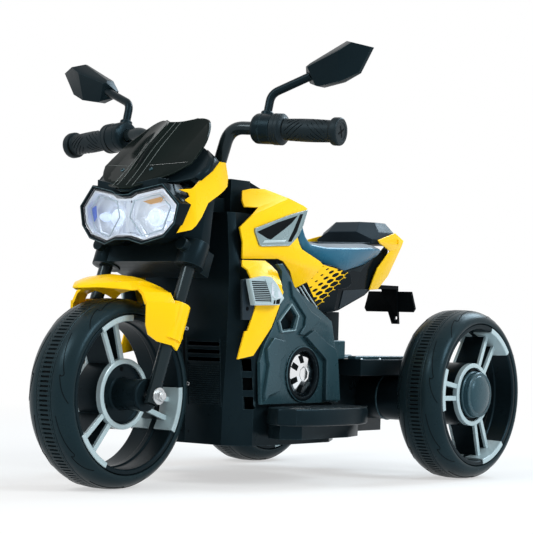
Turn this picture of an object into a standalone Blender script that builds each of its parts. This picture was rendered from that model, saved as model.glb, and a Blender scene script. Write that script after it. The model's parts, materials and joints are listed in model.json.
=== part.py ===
"""Battery ride-on trike: three wide wheels, motorcycle styling, battery drive on the rear axle.

Metres, +Z up. The trike faces -Y and the rider's left is +X.
The origin is on the ground, midway between the axles.
"""
import bmesh
import bpy
from math import cos, hypot, pi, radians, sin
from mathutils import Matrix, Vector

# Fits
gap = 0.0003
run_gap = 0.0005
wall = 0.0025

# Wheels; the pieces are drawn with the axles at axle_height, and lifted onto the ground at the end
wheel_radius = 0.130
axle_height = 0.130
wheel_base = 0.5787
rear_track = 0.4038
tyre_half_width = 0.0385
tread_half = 0.0125
tyre_depth = 0.021
rim_radius = wheel_radius - tyre_depth
rim_wall = 0.008
rim_half_width = 0.037
hub_radius = 0.0475
hub_half_width = 0.025
hub_ring = 0.0065
hub_recess = 0.006
spoke_count = 3
spoke_spread = radians(9.0)
spoke_width = 0.0075
spoke_taper = 1.4
front_spoke_angle = radians(107.0)
rear_spoke_angle = radians(55.0)
wheel_steps = 32
axle_radius = 0.005
axle_end = 0.010
nut_radius = 0.0075
washer_radius = 0.0115
washer_thick = 0.002
nut_thick = 0.0055

# Steering
rake = 0.363
stem_y = -0.197
stem_z = 0.298
stem_radius = 0.011
stem_length = 0.141
fork_offset = 0.02667
fork_half_width = 0.077
leg_radius = 0.0095
leg_below_axle = 0.012
leg_in_yoke = 0.022
barrel_radius = 0.023
yoke_height = 0.035
yoke_floor = 0.006
yoke_depth = 0.059
yoke_front = 0.015
yoke_boss_radius = 0.0205
yoke_stud_radius = 0.009
yoke_stud_length = 0.008
cover_wall = 0.003

# Handlebar
bar_radius = 0.0095
bar_rise = 0.155
clamp_width = 0.050
clamp_size = 0.028
clamp_wall = 0.0075
grip_radius = 0.0148
grip_flange_radius = 0.0195
grip_collar_radius = 0.0222
grip_length = 0.104
grip_cap = 0.008
switch_radius = 0.0215
switch_length = 0.031
stalk_radius = 0.006
mirror_depth = 0.018
glass_thick = 0.002
glass_margin = 0.006

# Head of the body
tube_radius = 0.021
tube_low = 0.045
tube_high = 0.128
console_height = 0.0485
console_half_width = 0.054

# Body
body_side = 0.1085
body_base = 0.057
footboard_top = 0.113
footboard_thick = 0.025
board_skirt = 0.020
disc_radius = 0.0325
disc_ring_radius = 0.041
disc_height = 0.010
frame_thick = 0.006

# Rear
gearbox_radius = 0.0355
gearbox_drop = 0.011
gearbox_inner = 0.030
gearbox_outer = 0.150
carrier_top = 0.180
carrier_thick = 0.025
carrier_half_width = 0.112
carrier_front = 0.150
carrier_tail = 0.0407

axle_up = (axle_height - stem_z - fork_offset * sin(rake)) / cos(rake)
front_axle_y = stem_y - fork_offset * cos(rake) + axle_up * sin(rake)
rear_axle_y = front_axle_y + wheel_base
half_track = rear_track / 2

satin_black = ((0.018, 0.022, 0.024), 0.42, 0.0)
gloss_black = ((0.012, 0.014, 0.016), 0.18, 0.0)
tyre_black = ((0.020, 0.022, 0.024), 0.60, 0.0)
yellow = ((0.95, 0.56, 0.005), 0.28, 0.0)
silver = ((0.55, 0.60, 0.63), 0.35, 0.1)
teal_black = ((0.030, 0.050, 0.058), 0.38, 0.0)
seat_grey = ((0.075, 0.095, 0.110), 0.34, 0.0)
steel = ((0.62, 0.62, 0.62), 0.28, 1.0)
chrome = ((0.85, 0.86, 0.88), 0.06, 1.0)
clear = ((0.85, 0.90, 0.95), 0.05, 0.0)
smoke = ((0.030, 0.036, 0.034), 0.12, 0.0)
red = ((0.45, 0.01, 0.01), 0.25, 0.0)

for old in list(bpy.data.objects):
    bpy.data.objects.remove(old, do_unlink=True)
model = bpy.data.collections.new("ride_on_trike")
cutters = bpy.data.collections.new("cutters")
bpy.context.scene.collection.children.link(model)
bpy.context.scene.collection.children.link(cutters)


def paint(obj, look):
    """Give an object its own Principled material."""
    colour, roughness, metallic = look
    material = bpy.data.materials.new(obj.name)
    material.use_nodes = True
    shader = material.node_tree.nodes["Principled BSDF"]
    shader.inputs["Base Color"].default_value = (*colour, 1.0)
    shader.inputs["Roughness"].default_value = roughness
    shader.inputs["Metallic"].default_value = metallic
    obj.data.materials.clear()
    obj.data.materials.append(material)


def from_bmesh(name, bm):
    """Turn a bmesh into an object in the model's collection."""
    mesh = bpy.data.meshes.new(name)
    bm.to_mesh(mesh)
    bm.free()
    obj = bpy.data.objects.new(name, mesh)
    model.objects.link(obj)
    return obj


def solid_bmesh(name, bm):
    """A closed bmesh becomes an object with its faces pointing out."""
    bmesh.ops.recalc_face_normals(bm, faces=bm.faces)
    return from_bmesh(name, bm)


def box(name, low, high):
    """A block between two opposite corners."""
    bm = bmesh.new()
    low, high = Vector(low), Vector(high)
    bmesh.ops.create_cube(bm, size=1.0)
    bmesh.ops.scale(bm, vec=high - low, verts=bm.verts)
    bmesh.ops.translate(bm, vec=(low + high) / 2, verts=bm.verts)
    return from_bmesh(name, bm)


def rod(name, start, end, radius, sides=16, end_radius=None):
    """A round bar, or a cone, from one point to another."""
    start, end = Vector(start), Vector(end)
    along = end - start
    bm = bmesh.new()
    bmesh.ops.create_cone(bm, cap_ends=True, segments=sides, radius1=radius,
                          radius2=radius if end_radius is None else end_radius, depth=along.length)
    turn = along.to_track_quat("Z", "Y").to_matrix().to_4x4()
    bmesh.ops.transform(bm, matrix=Matrix.Translation((start + end) / 2) @ turn, verts=bm.verts)
    return from_bmesh(name, bm)


def turned(name, profile, centre, axis, steps=24, closed=False):
    """Turn a profile of (radius, height) points, listed down its outer side, about an axis."""
    bm = bmesh.new()
    verts = [bm.verts.new((r, 0.0, h)) for r, h in profile]
    for a, b in zip(verts, verts[1:] + ([verts[0]] if closed else [])):
        bm.edges.new((a, b))
    obj = from_bmesh(name, bm)
    screw = obj.modifiers.new("turn", "SCREW")
    screw.axis = "Z"
    screw.angle = 2 * pi
    screw.steps = screw.render_steps = steps
    screw.use_merge_vertices = True
    screw.merge_threshold = 0.00005
    screw.use_normal_calculate = False
    obj.rotation_euler = Vector(axis).to_track_quat("Z", "Y").to_euler()
    obj.location = centre
    return obj


def baked(obj, name=None):
    """Replace an object by its evaluated mesh in world space."""
    bpy.context.view_layer.update()
    graph = bpy.context.evaluated_depsgraph_get()
    mesh = bpy.data.meshes.new_from_object(obj.evaluated_get(graph))
    mesh.transform(obj.matrix_world)
    name = name or obj.name
    bpy.data.objects.remove(obj, do_unlink=True)
    mesh.materials.clear()
    bm = bmesh.new()
    bm.from_mesh(mesh)
    bmesh.ops.remove_doubles(bm, verts=bm.verts, dist=0.00001)
    bpy.data.meshes.remove(mesh)
    return from_bmesh(name, bm)


def combine(obj, others, operation):
    """Union with, or cut by, other objects, which move to the cutters' collection."""
    for other in others:
        model.objects.unlink(other)
        cutters.objects.link(other)
        other.hide_render = True
        other.display_type = "WIRE"
        step = obj.modifiers.new(operation.lower(), "BOOLEAN")
        step.operation = operation
        step.solver = "EXACT"
        step.object = other
    result = baked(obj)
    for other in others:
        bpy.data.objects.remove(other, do_unlink=True)
    return result


def union(obj, *others):
    return combine(obj, others, "UNION")


def cut(obj, *others):
    return combine(obj, others, "DIFFERENCE")


def mirrored(obj, name):
    """A copy of a left-hand piece for the right-hand side."""
    mesh = obj.data.copy()
    mesh.transform(Matrix.Scale(-1, 4, (1, 0, 0)))
    mesh.flip_normals()
    copy = bpy.data.objects.new(name, mesh)
    model.objects.link(copy)
    return copy


def pair(obj, look):
    """Name a left-hand piece, mirror it and colour both."""
    stem = obj.name
    obj = baked(obj)
    right = mirrored(obj, stem + "_right")
    obj.name = stem + "_left"
    paint(obj, look)
    paint(right, look)
    return obj, right


def outline_mesh(name, points):
    """A filled flat outline in the YZ plane, from a 2D curve."""
    curve = bpy.data.curves.new(name, "CURVE")
    curve.dimensions = "2D"
    curve.fill_mode = "BOTH"
    line = curve.splines.new("POLY")
    line.points.add(len(points) - 1)
    for point, (y, z) in zip(line.points, points):
        point.co = (y, z, 0.0, 1.0)
    line.use_cyclic_u = True
    flat = bpy.data.objects.new(name, curve)
    model.objects.link(flat)
    graph = bpy.context.evaluated_depsgraph_get()
    mesh = bpy.data.meshes.new_from_object(flat.evaluated_get(graph))
    bpy.data.objects.remove(flat, do_unlink=True)
    bm = bmesh.new()
    bm.from_mesh(mesh)
    bmesh.ops.remove_doubles(bm, verts=bm.verts, dist=0.00001)
    bmesh.ops.dissolve_limit(bm, angle_limit=radians(1), verts=bm.verts, edges=bm.edges)
    for vert in bm.verts:
        y, z, _ = vert.co
        vert.co = (0.0, y, z)
    return bm


def crease(bm, planes):
    """Cut a flat YZ sheet where two of the planes x = a + b*y + c*z meet."""
    for i, (a1, b1, c1) in enumerate(planes):
        for a2, b2, c2 in planes[:i]:
            a, b, c = a1 - a2, b1 - b2, c1 - c2
            if hypot(b, c) < 1e-9:
                continue
            normal = Vector((0, b, c))
            foot = -a * normal / normal.length_squared
            bmesh.ops.bisect_plane(bm, geom=bm.verts[:] + bm.edges[:] + bm.faces[:],
                                   plane_co=foot, plane_no=normal, dist=1e-6)


def lowest(planes, y, z):
    return min(a + b * y + c * z for a, b, c in planes)


def plane_through(*points):
    """The plane x = a + b*y + c*z through three (x, y, z) points."""
    (x1, y1, z1), (x2, y2, z2), (x3, y3, z3) = points
    normal = (Vector((x2 - x1, y2 - y1, z2 - z1))).cross(Vector((x3 - x1, y3 - y1, z3 - z1)))
    b, c = -normal.y / normal.x, -normal.z / normal.x
    return x1 - b * y1 - c * z1, b, c


def facet_panel(name, outline, planes, thick=wall):
    """A thin moulded panel: an outline whose face is folded along the planes' creases."""
    bm = outline_mesh(name, outline)
    crease(bm, planes)
    for vert in bm.verts:
        vert.co.x = lowest(planes, vert.co.y, vert.co.z)
    bmesh.ops.recalc_face_normals(bm, faces=bm.faces)
    if sum(face.normal.x * face.calc_area() for face in bm.faces) < 0:
        bmesh.ops.reverse_faces(bm, faces=bm.faces)
    obj = from_bmesh(name, bm)
    shell = obj.modifiers.new("wall", "SOLIDIFY")
    shell.thickness = thick
    shell.offset = -1.0
    return obj


def facet_block(name, outline, planes, base):
    """A solid block: an outline from a flat back at x = base to a folded face."""
    bm = outline_mesh(name, outline)
    crease(bm, planes)
    front = bmesh.ops.extrude_face_region(bm, geom=bm.faces[:])["geom"]
    front = [item for item in front if isinstance(item, bmesh.types.BMVert)]
    for vert in bm.verts:
        vert.co.x = base
    for vert in front:
        vert.co.x = lowest(planes, vert.co.y, vert.co.z)
    return solid_bmesh(name, bm)


def plate(name, outline, low, high):
    """A flat plate with a YZ outline between two x values."""
    return facet_block(name, outline, [(high, 0.0, 0.0)], low)


def inset(outline, amount):
    """Draw an outline in by the same amount all round."""
    count = len(outline)
    area = sum(a[0] * b[1] - b[0] * a[1] for a, b in zip(outline, outline[1:] + outline[:1]))
    turn = 1 if area > 0 else -1
    points = []
    for i in range(count):
        before, here, after = (Vector(outline[(i + k) % count]) for k in (-1, 0, 1))
        into, out_of = (here - before).normalized(), (after - here).normalized()
        n1 = Vector((-into.y, into.x)) * turn
        n2 = Vector((-out_of.y, out_of.x)) * turn
        shift = (n1 + n2) / max(1.0 + n1.dot(n2), 0.3)
        points.append(tuple(here + shift * amount))
    return points


def lay(obj, columns):
    """Turn a baked YZ-outline piece so that its x, y, z run along other directions."""
    obj = baked(obj)
    matrix = Matrix(columns).transposed().to_4x4()
    obj.data.transform(matrix)
    if matrix.determinant() < 0:
        obj.data.flip_normals()
    return obj


facing_front = ((0, -1, 0), (1, 0, 0), (0, 0, 1))
facing_up = ((0, 0, 1), (1, 0, 0), (0, 1, 0))


def loft(name, sections, capped=True):
    """Join sections of equally many (x, y, z) points into a skin, closed at both ends if capped."""
    bm = bmesh.new()
    rings = [[bm.verts.new(point) for point in section] for section in sections]
    count = len(rings[0])
    last = count if capped else count - 1
    for ring, following in zip(rings, rings[1:]):
        for i in range(last):
            j = (i + 1) % count
            bm.faces.new((ring[i], ring[j], following[j], following[i]))
    if capped:
        bm.faces.new(rings[0])
        bm.faces.new(rings[-1])
    bmesh.ops.recalc_face_normals(bm, faces=bm.faces)
    return from_bmesh(name, bm)


def both_sides(half):
    """Mirror a half section of (x, z) points, listed from the top centre to the bottom centre."""
    return half + [(-x, z) for x, z in reversed(half) if x > 1e-6]


def stations(rows):
    """Cross sections along Y from rows of (y, half section)."""
    return [[(x, y, z) for x, z in both_sides(half)] for y, half in rows]


def rounded_path(corners, radius, steps=5):
    """A polyline whose corners are rounded by arcs."""
    corners = [Vector(corner) for corner in corners]
    path = [corners[0]]
    for before, corner, after in zip(corners, corners[1:], corners[2:]):
        to_back, to_next = (before - corner).normalized(), (after - corner).normalized()
        half_angle = to_back.angle(to_next) / 2
        reach = min(radius / max(sin(half_angle), 1e-3) * cos(half_angle),
                    0.45 * (before - corner).length, 0.45 * (after - corner).length)
        start, end = corner + to_back * reach, corner + to_next * reach
        for i in range(steps + 1):
            t = i / steps
            path.append(start.lerp(corner, t).lerp(corner.lerp(end, t), t))
    path.append(corners[-1])
    return path


def tube(name, path, radius, resolution=2):
    """A round tube along a path, from a bevelled curve, as a mesh."""
    curve = bpy.data.curves.new(name, "CURVE")
    curve.dimensions = "3D"
    curve.bevel_depth = radius
    curve.bevel_resolution = resolution
    curve.use_fill_caps = True
    line = curve.splines.new("POLY")
    line.points.add(len(path) - 1)
    for point, place in zip(line.points, path):
        point.co = (*place, 1.0)
    obj = bpy.data.objects.new(name, curve)
    model.objects.link(obj)
    return baked(obj)


def smooth(obj, angle=35):
    obj.data.shade_smooth()
    obj.data.set_sharp_from_angle(angle=radians(angle))
    return obj


def bevel(obj, width, segments=1, angle=40):
    """Round an object's sharper edges."""
    edge = obj.modifiers.new("round", "BEVEL")
    edge.width = width
    edge.segments = segments
    edge.limit_method = "ANGLE"
    edge.angle_limit = radians(angle)
    edge.use_clamp_overlap = True
    return obj


def empty(name, place, turn=(0.0, 0.0, 0.0)):
    """A joint's empty, at a place in the drawing."""
    obj = bpy.data.objects.new(name, None)
    obj.location = settle @ Vector(place)
    obj.rotation_euler = turn
    model.objects.link(obj)
    bpy.context.view_layer.update()
    return obj


def hang(parent, names):
    """Parent pieces to a joint's empty without moving them."""
    for name in names:
        obj = bpy.data.objects[name]
        obj.parent = parent
        obj.matrix_parent_inverse = parent.matrix_world.inverted()


steer_x = Vector((1, 0, 0))
steer_back = Vector((0, cos(rake), -sin(rake)))
steer_up = Vector((0, sin(rake), cos(rake)))
steer_origin = Vector((0, stem_y, stem_z))
steer_frame = Matrix.Translation(steer_origin) @ Matrix.Rotation(-rake, 4, "X")


def steer(x, back, up):
    """A point given across, behind and along the raked steering axis."""
    return steer_origin + steer_x * x + steer_back * back + steer_up * up


def raked(obj):
    """Move a piece made about the origin into the raked steering frame."""
    obj = baked(obj)
    obj.data.transform(steer_frame)
    return obj


# Wheels
def wheel_tyre(name, centre):
    """A tyre whose tread is flat facets, with one of them on the ground."""
    bore = rim_radius / cos(pi / wheel_steps) + gap
    outer = [(bore, tyre_half_width)]
    for below_tread, inboard in ((0.0130, 0.0010), (0.0065, 0.0060), (0.0015, 0.0140)):
        outer.append(((wheel_radius - below_tread) / cos(pi / wheel_steps), tyre_half_width - inboard))
    outer.append((wheel_radius / cos(pi / wheel_steps), tread_half))
    profile = outer + [(r, -h) for r, h in reversed(outer)]
    obj = turned(name, profile, (0, 0, 0), (1, 0, 0), wheel_steps, closed=True)
    obj = baked(obj)
    obj.data.transform(Matrix.Rotation(pi / wheel_steps, 4, "X"))
    obj.data.transform(Matrix.Translation(centre))
    paint(obj, tyre_black)
    return smooth(obj, 30)


def wheel_rim(name, centre, first_angle, hub_left, hub_right):
    """Hub, three pairs of spokes and the rim, as one moulding."""
    inner = rim_radius - rim_wall
    barrel = [(rim_radius, rim_half_width), (rim_radius, -rim_half_width),
              (inner, -rim_half_width), (inner, rim_half_width)]
    rim = baked(turned(name, barrel, (0, 0, 0), (1, 0, 0), wheel_steps, closed=True))
    rim.data.transform(Matrix.Rotation(pi / wheel_steps, 4, "X"))
    bore = axle_radius + run_gap
    recess = hub_radius - hub_ring
    floor = hub_half_width - hub_recess
    hub = [(bore, hub_left), (barrel_radius, hub_left), (barrel_radius, floor), (recess, floor),
           (recess, hub_half_width),
           (hub_radius, hub_half_width), (hub_radius, -hub_half_width), (recess, -hub_half_width),
           (recess, -floor),
           (barrel_radius, -floor), (barrel_radius, -hub_right), (bore, -hub_right)]
    parts = [baked(turned(name + "_hub", hub, (0, 0, 0), (1, 0, 0), 24, closed=True))]
    for spoke in range(spoke_count):
        for side in (-1, 1):
            angle = first_angle + spoke * 2 * pi / spoke_count + side * spoke_spread
            start, end = hub_radius - 0.004, inner + 0.003
            bar = box(name + "_spoke", (-hub_half_width + 0.003, start, -spoke_width / 2),
                      (hub_half_width - 0.003, end, spoke_width / 2))
            for vert in bar.data.vertices:
                if vert.co.y > (start + end) / 2:
                    vert.co.x *= spoke_taper
            bar.data.transform(Matrix.Rotation(angle, 4, "X"))
            parts.append(bar)
    rim = union(rim, *parts)
    rim.data.transform(Matrix.Translation(centre))
    paint(rim, silver)
    return smooth(rim, 30)


leg_inner_face = fork_half_width - leg_radius
front_hub = leg_inner_face - gap - run_gap
front_centre = (0, front_axle_y, axle_height)
wheel_tyre("front_tyre", front_centre)
wheel_rim("front_rim", front_centre, front_spoke_angle, front_hub, front_hub)
rear_hub_inner = half_track - gearbox_outer - gap
rear_hub_outer = hub_half_width + hub_recess
for side, word in ((1, "left"), (-1, "right")):
    centre = (side * half_track, rear_axle_y, axle_height)
    wheel_tyre("rear_tyre_" + word, centre)
    ends = (rear_hub_outer, rear_hub_inner) if side > 0 else (rear_hub_inner, rear_hub_outer)
    wheel_rim("rear_rim_" + word, centre, rear_spoke_angle, *ends)


def threaded_axle(name, half_length, y, head):
    """A bolt across the trike with a washer and a nut at both ends."""
    bolt = rod(name, (-half_length, y, axle_height), (half_length, y, axle_height), axle_radius, 12)
    ends = []
    for side in (-1, 1):
        inner, outer = side * head, side * (head + washer_thick)
        nut_face = side * (head + washer_thick + nut_thick)
        ends.append(rod("washer", (inner, y, axle_height), (outer, y, axle_height), washer_radius, 20))
        nut_start = (outer - side * run_gap, y, axle_height)
        ends.append(rod("nut", nut_start, (nut_face, y, axle_height), nut_radius, 6))
    axle = union(bolt, *ends)
    paint(axle, steel)
    return smooth(axle)


leg_outer_face = fork_half_width + leg_radius
threaded_axle("front_axle", leg_outer_face + axle_end, front_axle_y, leg_outer_face + gap)
rear_nut = half_track + rear_hub_outer + gap
threaded_axle("rear_axle", rear_nut + axle_end, rear_axle_y, rear_nut)

# Fork
leg_back = -fork_offset
axle_bore = rod("axle_bore", (0, front_axle_y, axle_height), (0.2, front_axle_y, axle_height),
                axle_radius + gap, 12)
leg = rod("fork_leg", steer(fork_half_width, leg_back, axle_up - leg_below_axle),
          steer(fork_half_width, leg_back, leg_in_yoke), leg_radius, 16)
smooth(pair(cut(leg, axle_bore), satin_black)[0])
smooth(bpy.data.objects["fork_leg_right"])

yoke_rear = yoke_depth - fork_offset - yoke_front
yoke = box("lower_yoke", (-fork_half_width, -fork_offset - yoke_front, 0),
           (fork_half_width, yoke_rear, yoke_height))
stud_up = yoke_height * 0.62
bosses = []
for side in (-1, 1):
    x = side * fork_half_width
    bosses.append(rod("boss", (x, leg_back, -0.002), (x, leg_back, yoke_height - 0.001),
                      yoke_boss_radius, 20))
    bosses.append(rod("stud", (x, leg_back, stud_up),
                      (x, leg_back - yoke_boss_radius - yoke_stud_length, stud_up), yoke_stud_radius, 14))
yoke = union(yoke, *bosses)
holes = [rod("stem_hole", (0, 0, yoke_floor), (0, 0, 0.1), stem_radius + gap, 20)]
for side in (-1, 1):
    x = side * fork_half_width
    holes.append(rod("leg_hole", (x, leg_back, -0.1), (x, leg_back, leg_in_yoke + gap),
                     leg_radius + run_gap, 20))
yoke = raked(cut(yoke, *holes))
paint(yoke, satin_black)

clamp_top = bar_rise + bar_radius + clamp_wall
stem = rod("steering_stem", (0, 0, yoke_floor + gap), (0, 0, stem_length), stem_radius, 20)
clamp = box("clamp", (-clamp_width / 2, -clamp_size / 2, stem_length - 0.004),
            (clamp_width / 2, clamp_size / 2, clamp_top))
bar_hole = rod("bar_hole", (-0.1, 0, bar_rise), (0.1, 0, bar_rise), bar_radius + run_gap, 16)
stem = raked(cut(union(stem, clamp), bar_hole))
paint(stem, satin_black)
smooth(stem)

cover_rows = ((yoke_height + 2 * gap, -0.044, -0.004, 0.083), (0.070, -0.053, -0.016, 0.086),
              (0.104, -0.058, -0.0265, 0.088))
cover_chamfer = 0.020
cover_sections = []
for up, front, rear, half in cover_rows:
    corner = half - cover_chamfer
    line = [(half, rear), (half, front + cover_chamfer), (corner, front)]
    line += [(-x, back) for x, back in reversed(line)]
    cover_sections.append([steer(x, back, up) for x, back in line])
cover = loft("fork_cover", cover_sections, capped=False)
shell = cover.modifiers.new("wall", "SOLIDIFY")
shell.thickness = cover_wall
shell.offset = 0.0
cover = baked(cover)
paint(cover, satin_black)

# Front fender with the two fork guards, placed from the crown above the axle
fender_clearance = 0.033
fender_half = 0.054
fender_drop = 0.020
fender_front, fender_sweep, fender_steps = radians(-28), radians(53), 8
guard_wall = 0.0035
fender_reach = wheel_radius + fender_clearance
crown = Vector((0, front_axle_y, axle_height + fender_reach))
fender_rows = []
for step in range(fender_steps + 1):
    angle = fender_front + fender_sweep * step / fender_steps
    spread = min(1.0, 0.10 + step / 3.0)
    row = []
    for x, low in ((0.0, 0.0), (0.45, 0.12), (0.85, 0.45), (1.0, 1.0)):
        reach = fender_reach - fender_drop * spread * low
        row.append((fender_half * spread * x, front_axle_y + reach * sin(angle),
                    axle_height + reach * cos(angle)))
    fender_rows.append([(-x, y, z) for x, y, z in reversed(row[1:])] + row)
fender = loft("front_fender", fender_rows, capped=False)
if sum(face.normal.z for face in fender.data.polygons) < 0:
    fender.data.flip_normals()
shell = fender.modifiers.new("wall", "SOLIDIFY")
shell.thickness = wall
shell.offset = -1.0
fender = baked(fender)
guard_outline = [(-0.0107, -0.037), (0.0113, -0.037), (0.0373, -0.039), (0.0503, -0.045), (0.0433, -0.085),
                 (0.0313, -0.102),
                 (0.0213, -0.095), (0.0033, -0.090), (-0.0077, -0.081), (-0.0107, -0.068)]
guard_planes = [plane_through((0.088, 0.0193, -0.043), (0.088, 0.0193, -0.093), (0.070, -0.0107, -0.043)),
                plane_through((0.091, 0.0273, -0.043), (0.091, 0.0273, -0.093), (0.090, 0.0393, -0.043))]
shoulder_rows = ((-0.0092, 0.0615, 0.0692), (0.0133, 0.0765, 0.0832), (0.0293, 0.0780, 0.0868))
guards = []
for side in (1, -1):
    guard = baked(facet_panel("guard", guard_outline, guard_planes, guard_wall))
    shoulder = loft("shoulder", [
        [(0.046, y, -0.0135), (top, y, -0.0240), (edge, y, -0.0380), (edge - guard_wall, y, -0.0410),
         (top - wall, y, -0.0275), (0.046, y, -0.0175)] for y, top, edge in shoulder_rows])
    guard = union(guard, shoulder)
    guard.data.transform(Matrix.Translation(crown))
    if side < 0:
        right = mirrored(guard, "guard_right")
        bpy.data.objects.remove(guard, do_unlink=True)
        guard = right
    guards.append(guard)
leg_space = [rod("leg_space", steer(side * fork_half_width, leg_back, -0.2),
                 steer(side * fork_half_width, leg_back, 0.0),
                 leg_radius + gap * 2, 16) for side in (-1, 1)]
fender = cut(union(fender, *guards), *leg_space)
paint(fender, yellow)

# Handlebar, grips and switch housings
bar_start = steer(0, 0, bar_rise)
grip_in = Vector((0.1505, -0.1318, 0.5016))
grip_way = Vector((0.1031, 0.0153, -0.0064)).normalized()
bar_end = grip_in + grip_way * (grip_length - grip_cap)
bend_low = bar_start + Vector((0.056, 0, 0))
bend_high = grip_in - grip_way * 0.073
half_bar = [bar_start + Vector((0.001, 0, 0)), bend_low, bend_high, bar_end]
half_path = rounded_path(half_bar, 0.030, 6)
bar_path = [Vector((-p.x, p.y, p.z)) for p in reversed(half_path)] + half_path
bar = tube("handlebar", bar_path, bar_radius, 2)
paint(bar, gloss_black)
smooth(bar)

bar_bore = bar_radius + run_gap
grip_profile = [(0.0, grip_length), (grip_flange_radius - 0.003, grip_length),
                (grip_flange_radius, grip_length - 0.003),
                (grip_flange_radius, grip_length - 0.010), (grip_radius, grip_length - 0.014),
                (grip_radius + 0.001, 0.055),
                (grip_radius, 0.016), (grip_collar_radius, 0.013), (grip_collar_radius, 0.0),
                (bar_bore, 0.0),
                (bar_bore, grip_length - grip_cap + gap), (0.0, grip_length - grip_cap + gap)]
grip = turned("grip", grip_profile, grip_in, grip_way, 20)
for obj in pair(grip, satin_black):
    smooth(obj)
switch_start = grip_in - grip_way * (switch_length + gap)
switch_profile = [(bar_bore, switch_length), (switch_radius, switch_length), (switch_radius, 0.004),
                  (switch_radius - 0.004, 0.0),
                  (bar_bore, 0.0)]
housing = baked(turned("switch_housing", switch_profile, switch_start, grip_way, 20, closed=True))
stalk_foot = Vector((0.1327, -0.1290, 0.5185))
stalk_bend = Vector((0.1330, -0.1200, 0.5530))
stalk_end = Vector((0.1910, -0.1065, 0.5765))
stalk_way = (stalk_bend - stalk_foot).normalized()
collar = rod("collar", stalk_foot - stalk_way * 0.002, stalk_foot + stalk_way * 0.0085,
             stalk_radius + 0.003, 12)
seat_hole = rod("seat_hole", stalk_foot, stalk_foot + stalk_way * 0.05, stalk_radius + gap, 14)
housing = cut(union(housing, collar), seat_hole)
for obj in pair(housing, satin_black):
    smooth(obj)

# Mirrors: stalk, shell and glass; the shell turns on the ball at the stalk's end
mirror_y = -0.104
stalk_path = rounded_path([stalk_foot + stalk_way * gap, stalk_bend, stalk_end], 0.018)
stalk = tube("mirror_stalk", stalk_path, stalk_radius, 2)
for obj in pair(stalk, satin_black):
    smooth(obj)
mirror_outline = [(0.179, 0.577), (0.191, 0.594), (0.246, 0.6225), (0.2885, 0.611), (0.268, 0.577),
                  (0.242, 0.566),
                  (0.207, 0.5605), (0.186, 0.567)]
mid_x = sum(x for x, z in mirror_outline) / len(mirror_outline)
mid_z = sum(z for x, z in mirror_outline) / len(mirror_outline)
mirror_front = mirror_y - mirror_depth / 2
mirror_back = mirror_y + mirror_depth / 2
ridge = [(0.192, 0.588), (0.244, 0.607)]
facets = [plane_through((0.022, *ridge[0]), (0.022, *ridge[1]), (0.005, 0.246, 0.6225)),
          plane_through((0.022, *ridge[0]), (0.022, *ridge[1]), (0.014, 0.242, 0.566)),
          plane_through((0.022, 0.244, 0.607), (0.006, 0.2885, 0.611), (0.006, 0.268, 0.577)),
          plane_through((0.022, 0.192, 0.588), (0.006, 0.179, 0.577), (0.006, 0.186, 0.567))]
shell = facet_block("mirror_shell", mirror_outline, facets, 0.0)
recess = plate("recess", inset(mirror_outline, glass_margin - gap), -0.01, glass_thick + gap)
shell = lay(cut(shell, recess), facing_front)
shell.data.transform(Matrix.Translation((0, mirror_back, 0)))
arm_way = (stalk_end - stalk_bend).normalized()
neck = rod("arm_space", stalk_end - arm_way * 0.02, stalk_end + arm_way * gap, stalk_radius + run_gap, 16)
shell = cut(shell, neck)
for obj in pair(shell, satin_black):
    smooth(obj, 15)
glass = lay(plate("mirror_glass", inset(mirror_outline, glass_margin), 0.0, glass_thick), facing_front)
glass.data.transform(Matrix.Translation((0, mirror_back, 0)))
pair(glass, chrome)

# Headlight: bucket, reflectors and clear lens
lens_front = -0.276
lens_half = [(0.0, 0.398), (0.013, 0.399), (0.022, 0.404), (0.063, 0.412), (0.086, 0.388),
             (0.081, 0.365), (0.066, 0.349),
             (0.034, 0.340), (0.013, 0.346), (0.0, 0.346)]
lens_outline = both_sides(lens_half)[:-1]
sweep = 0.16
lens_planes = [(-lens_front, -sweep, 0.0), (-lens_front, sweep, 0.0)]
bezel_outline = inset(lens_outline, -0.006)
bucket_depth = 0.045
bowl_x, bowl_z = 0.042, 0.374
bucket_back = -lens_front - bucket_depth
bezel_planes = [(a + 0.003, b, c) for a, b, c in lens_planes]
bucket = facet_block("headlight_housing", bezel_outline, bezel_planes, bucket_back)
hollow = plate("hollow", inset(lens_outline, -0.0015), bucket_back + 0.003, 0.5)
bucket = lay(cut(bucket, hollow), facing_front)
paint(bucket, gloss_black)
lens = facet_panel("headlight_lens", inset(lens_outline, -0.0015 + gap), lens_planes, 0.002)
lens = lay(lens, facing_front)
paint(lens, clear)
reflector = box("headlight_reflector", (-bowl_x - 0.018, lens_front + 0.0355, 0.354),
                (bowl_x + 0.018, lens_front + 0.0415, 0.392))
bowl_back = Vector((0, 0.018, 0))
bowls = []
for side in (-1, 1):
    face = Vector((side * bowl_x, lens_front + 0.020, bowl_z))
    bowls.append(rod("bowl", face, face + bowl_back, 0.023, 16, 0.012))
reflector = union(reflector, *bowls)
bowls = []
for side in (-1, 1):
    face = Vector((side * bowl_x, lens_front + 0.018, bowl_z))
    bowls.append(rod("bowl", face, face + bowl_back, 0.0215, 16, 0.0095))
reflector = cut(reflector, *bowls)
paint(reflector, chrome)

# Windscreen and the cowl behind it
screen_slope = 1 / 0.864
screen_sweep = 0.20
screen_base_y, screen_base_z = -0.286, 0.412
screen_half = [(0.0, 0.412), (0.018, 0.4125), (0.048, 0.424), (0.066, 0.434), (0.081, 0.449),
               (0.0755, 0.480),
               (0.062, 0.500), (0.052, 0.512), (0.029, 0.521), (0.012, 0.515), (0.0, 0.515)]
screen_outline = both_sides(screen_half)[:-1]


def screen_planes(back):
    base = -(screen_base_y + back) + screen_slope * screen_base_z
    return [(base, -screen_sweep, -screen_slope), (base, screen_sweep, -screen_slope)]


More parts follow.
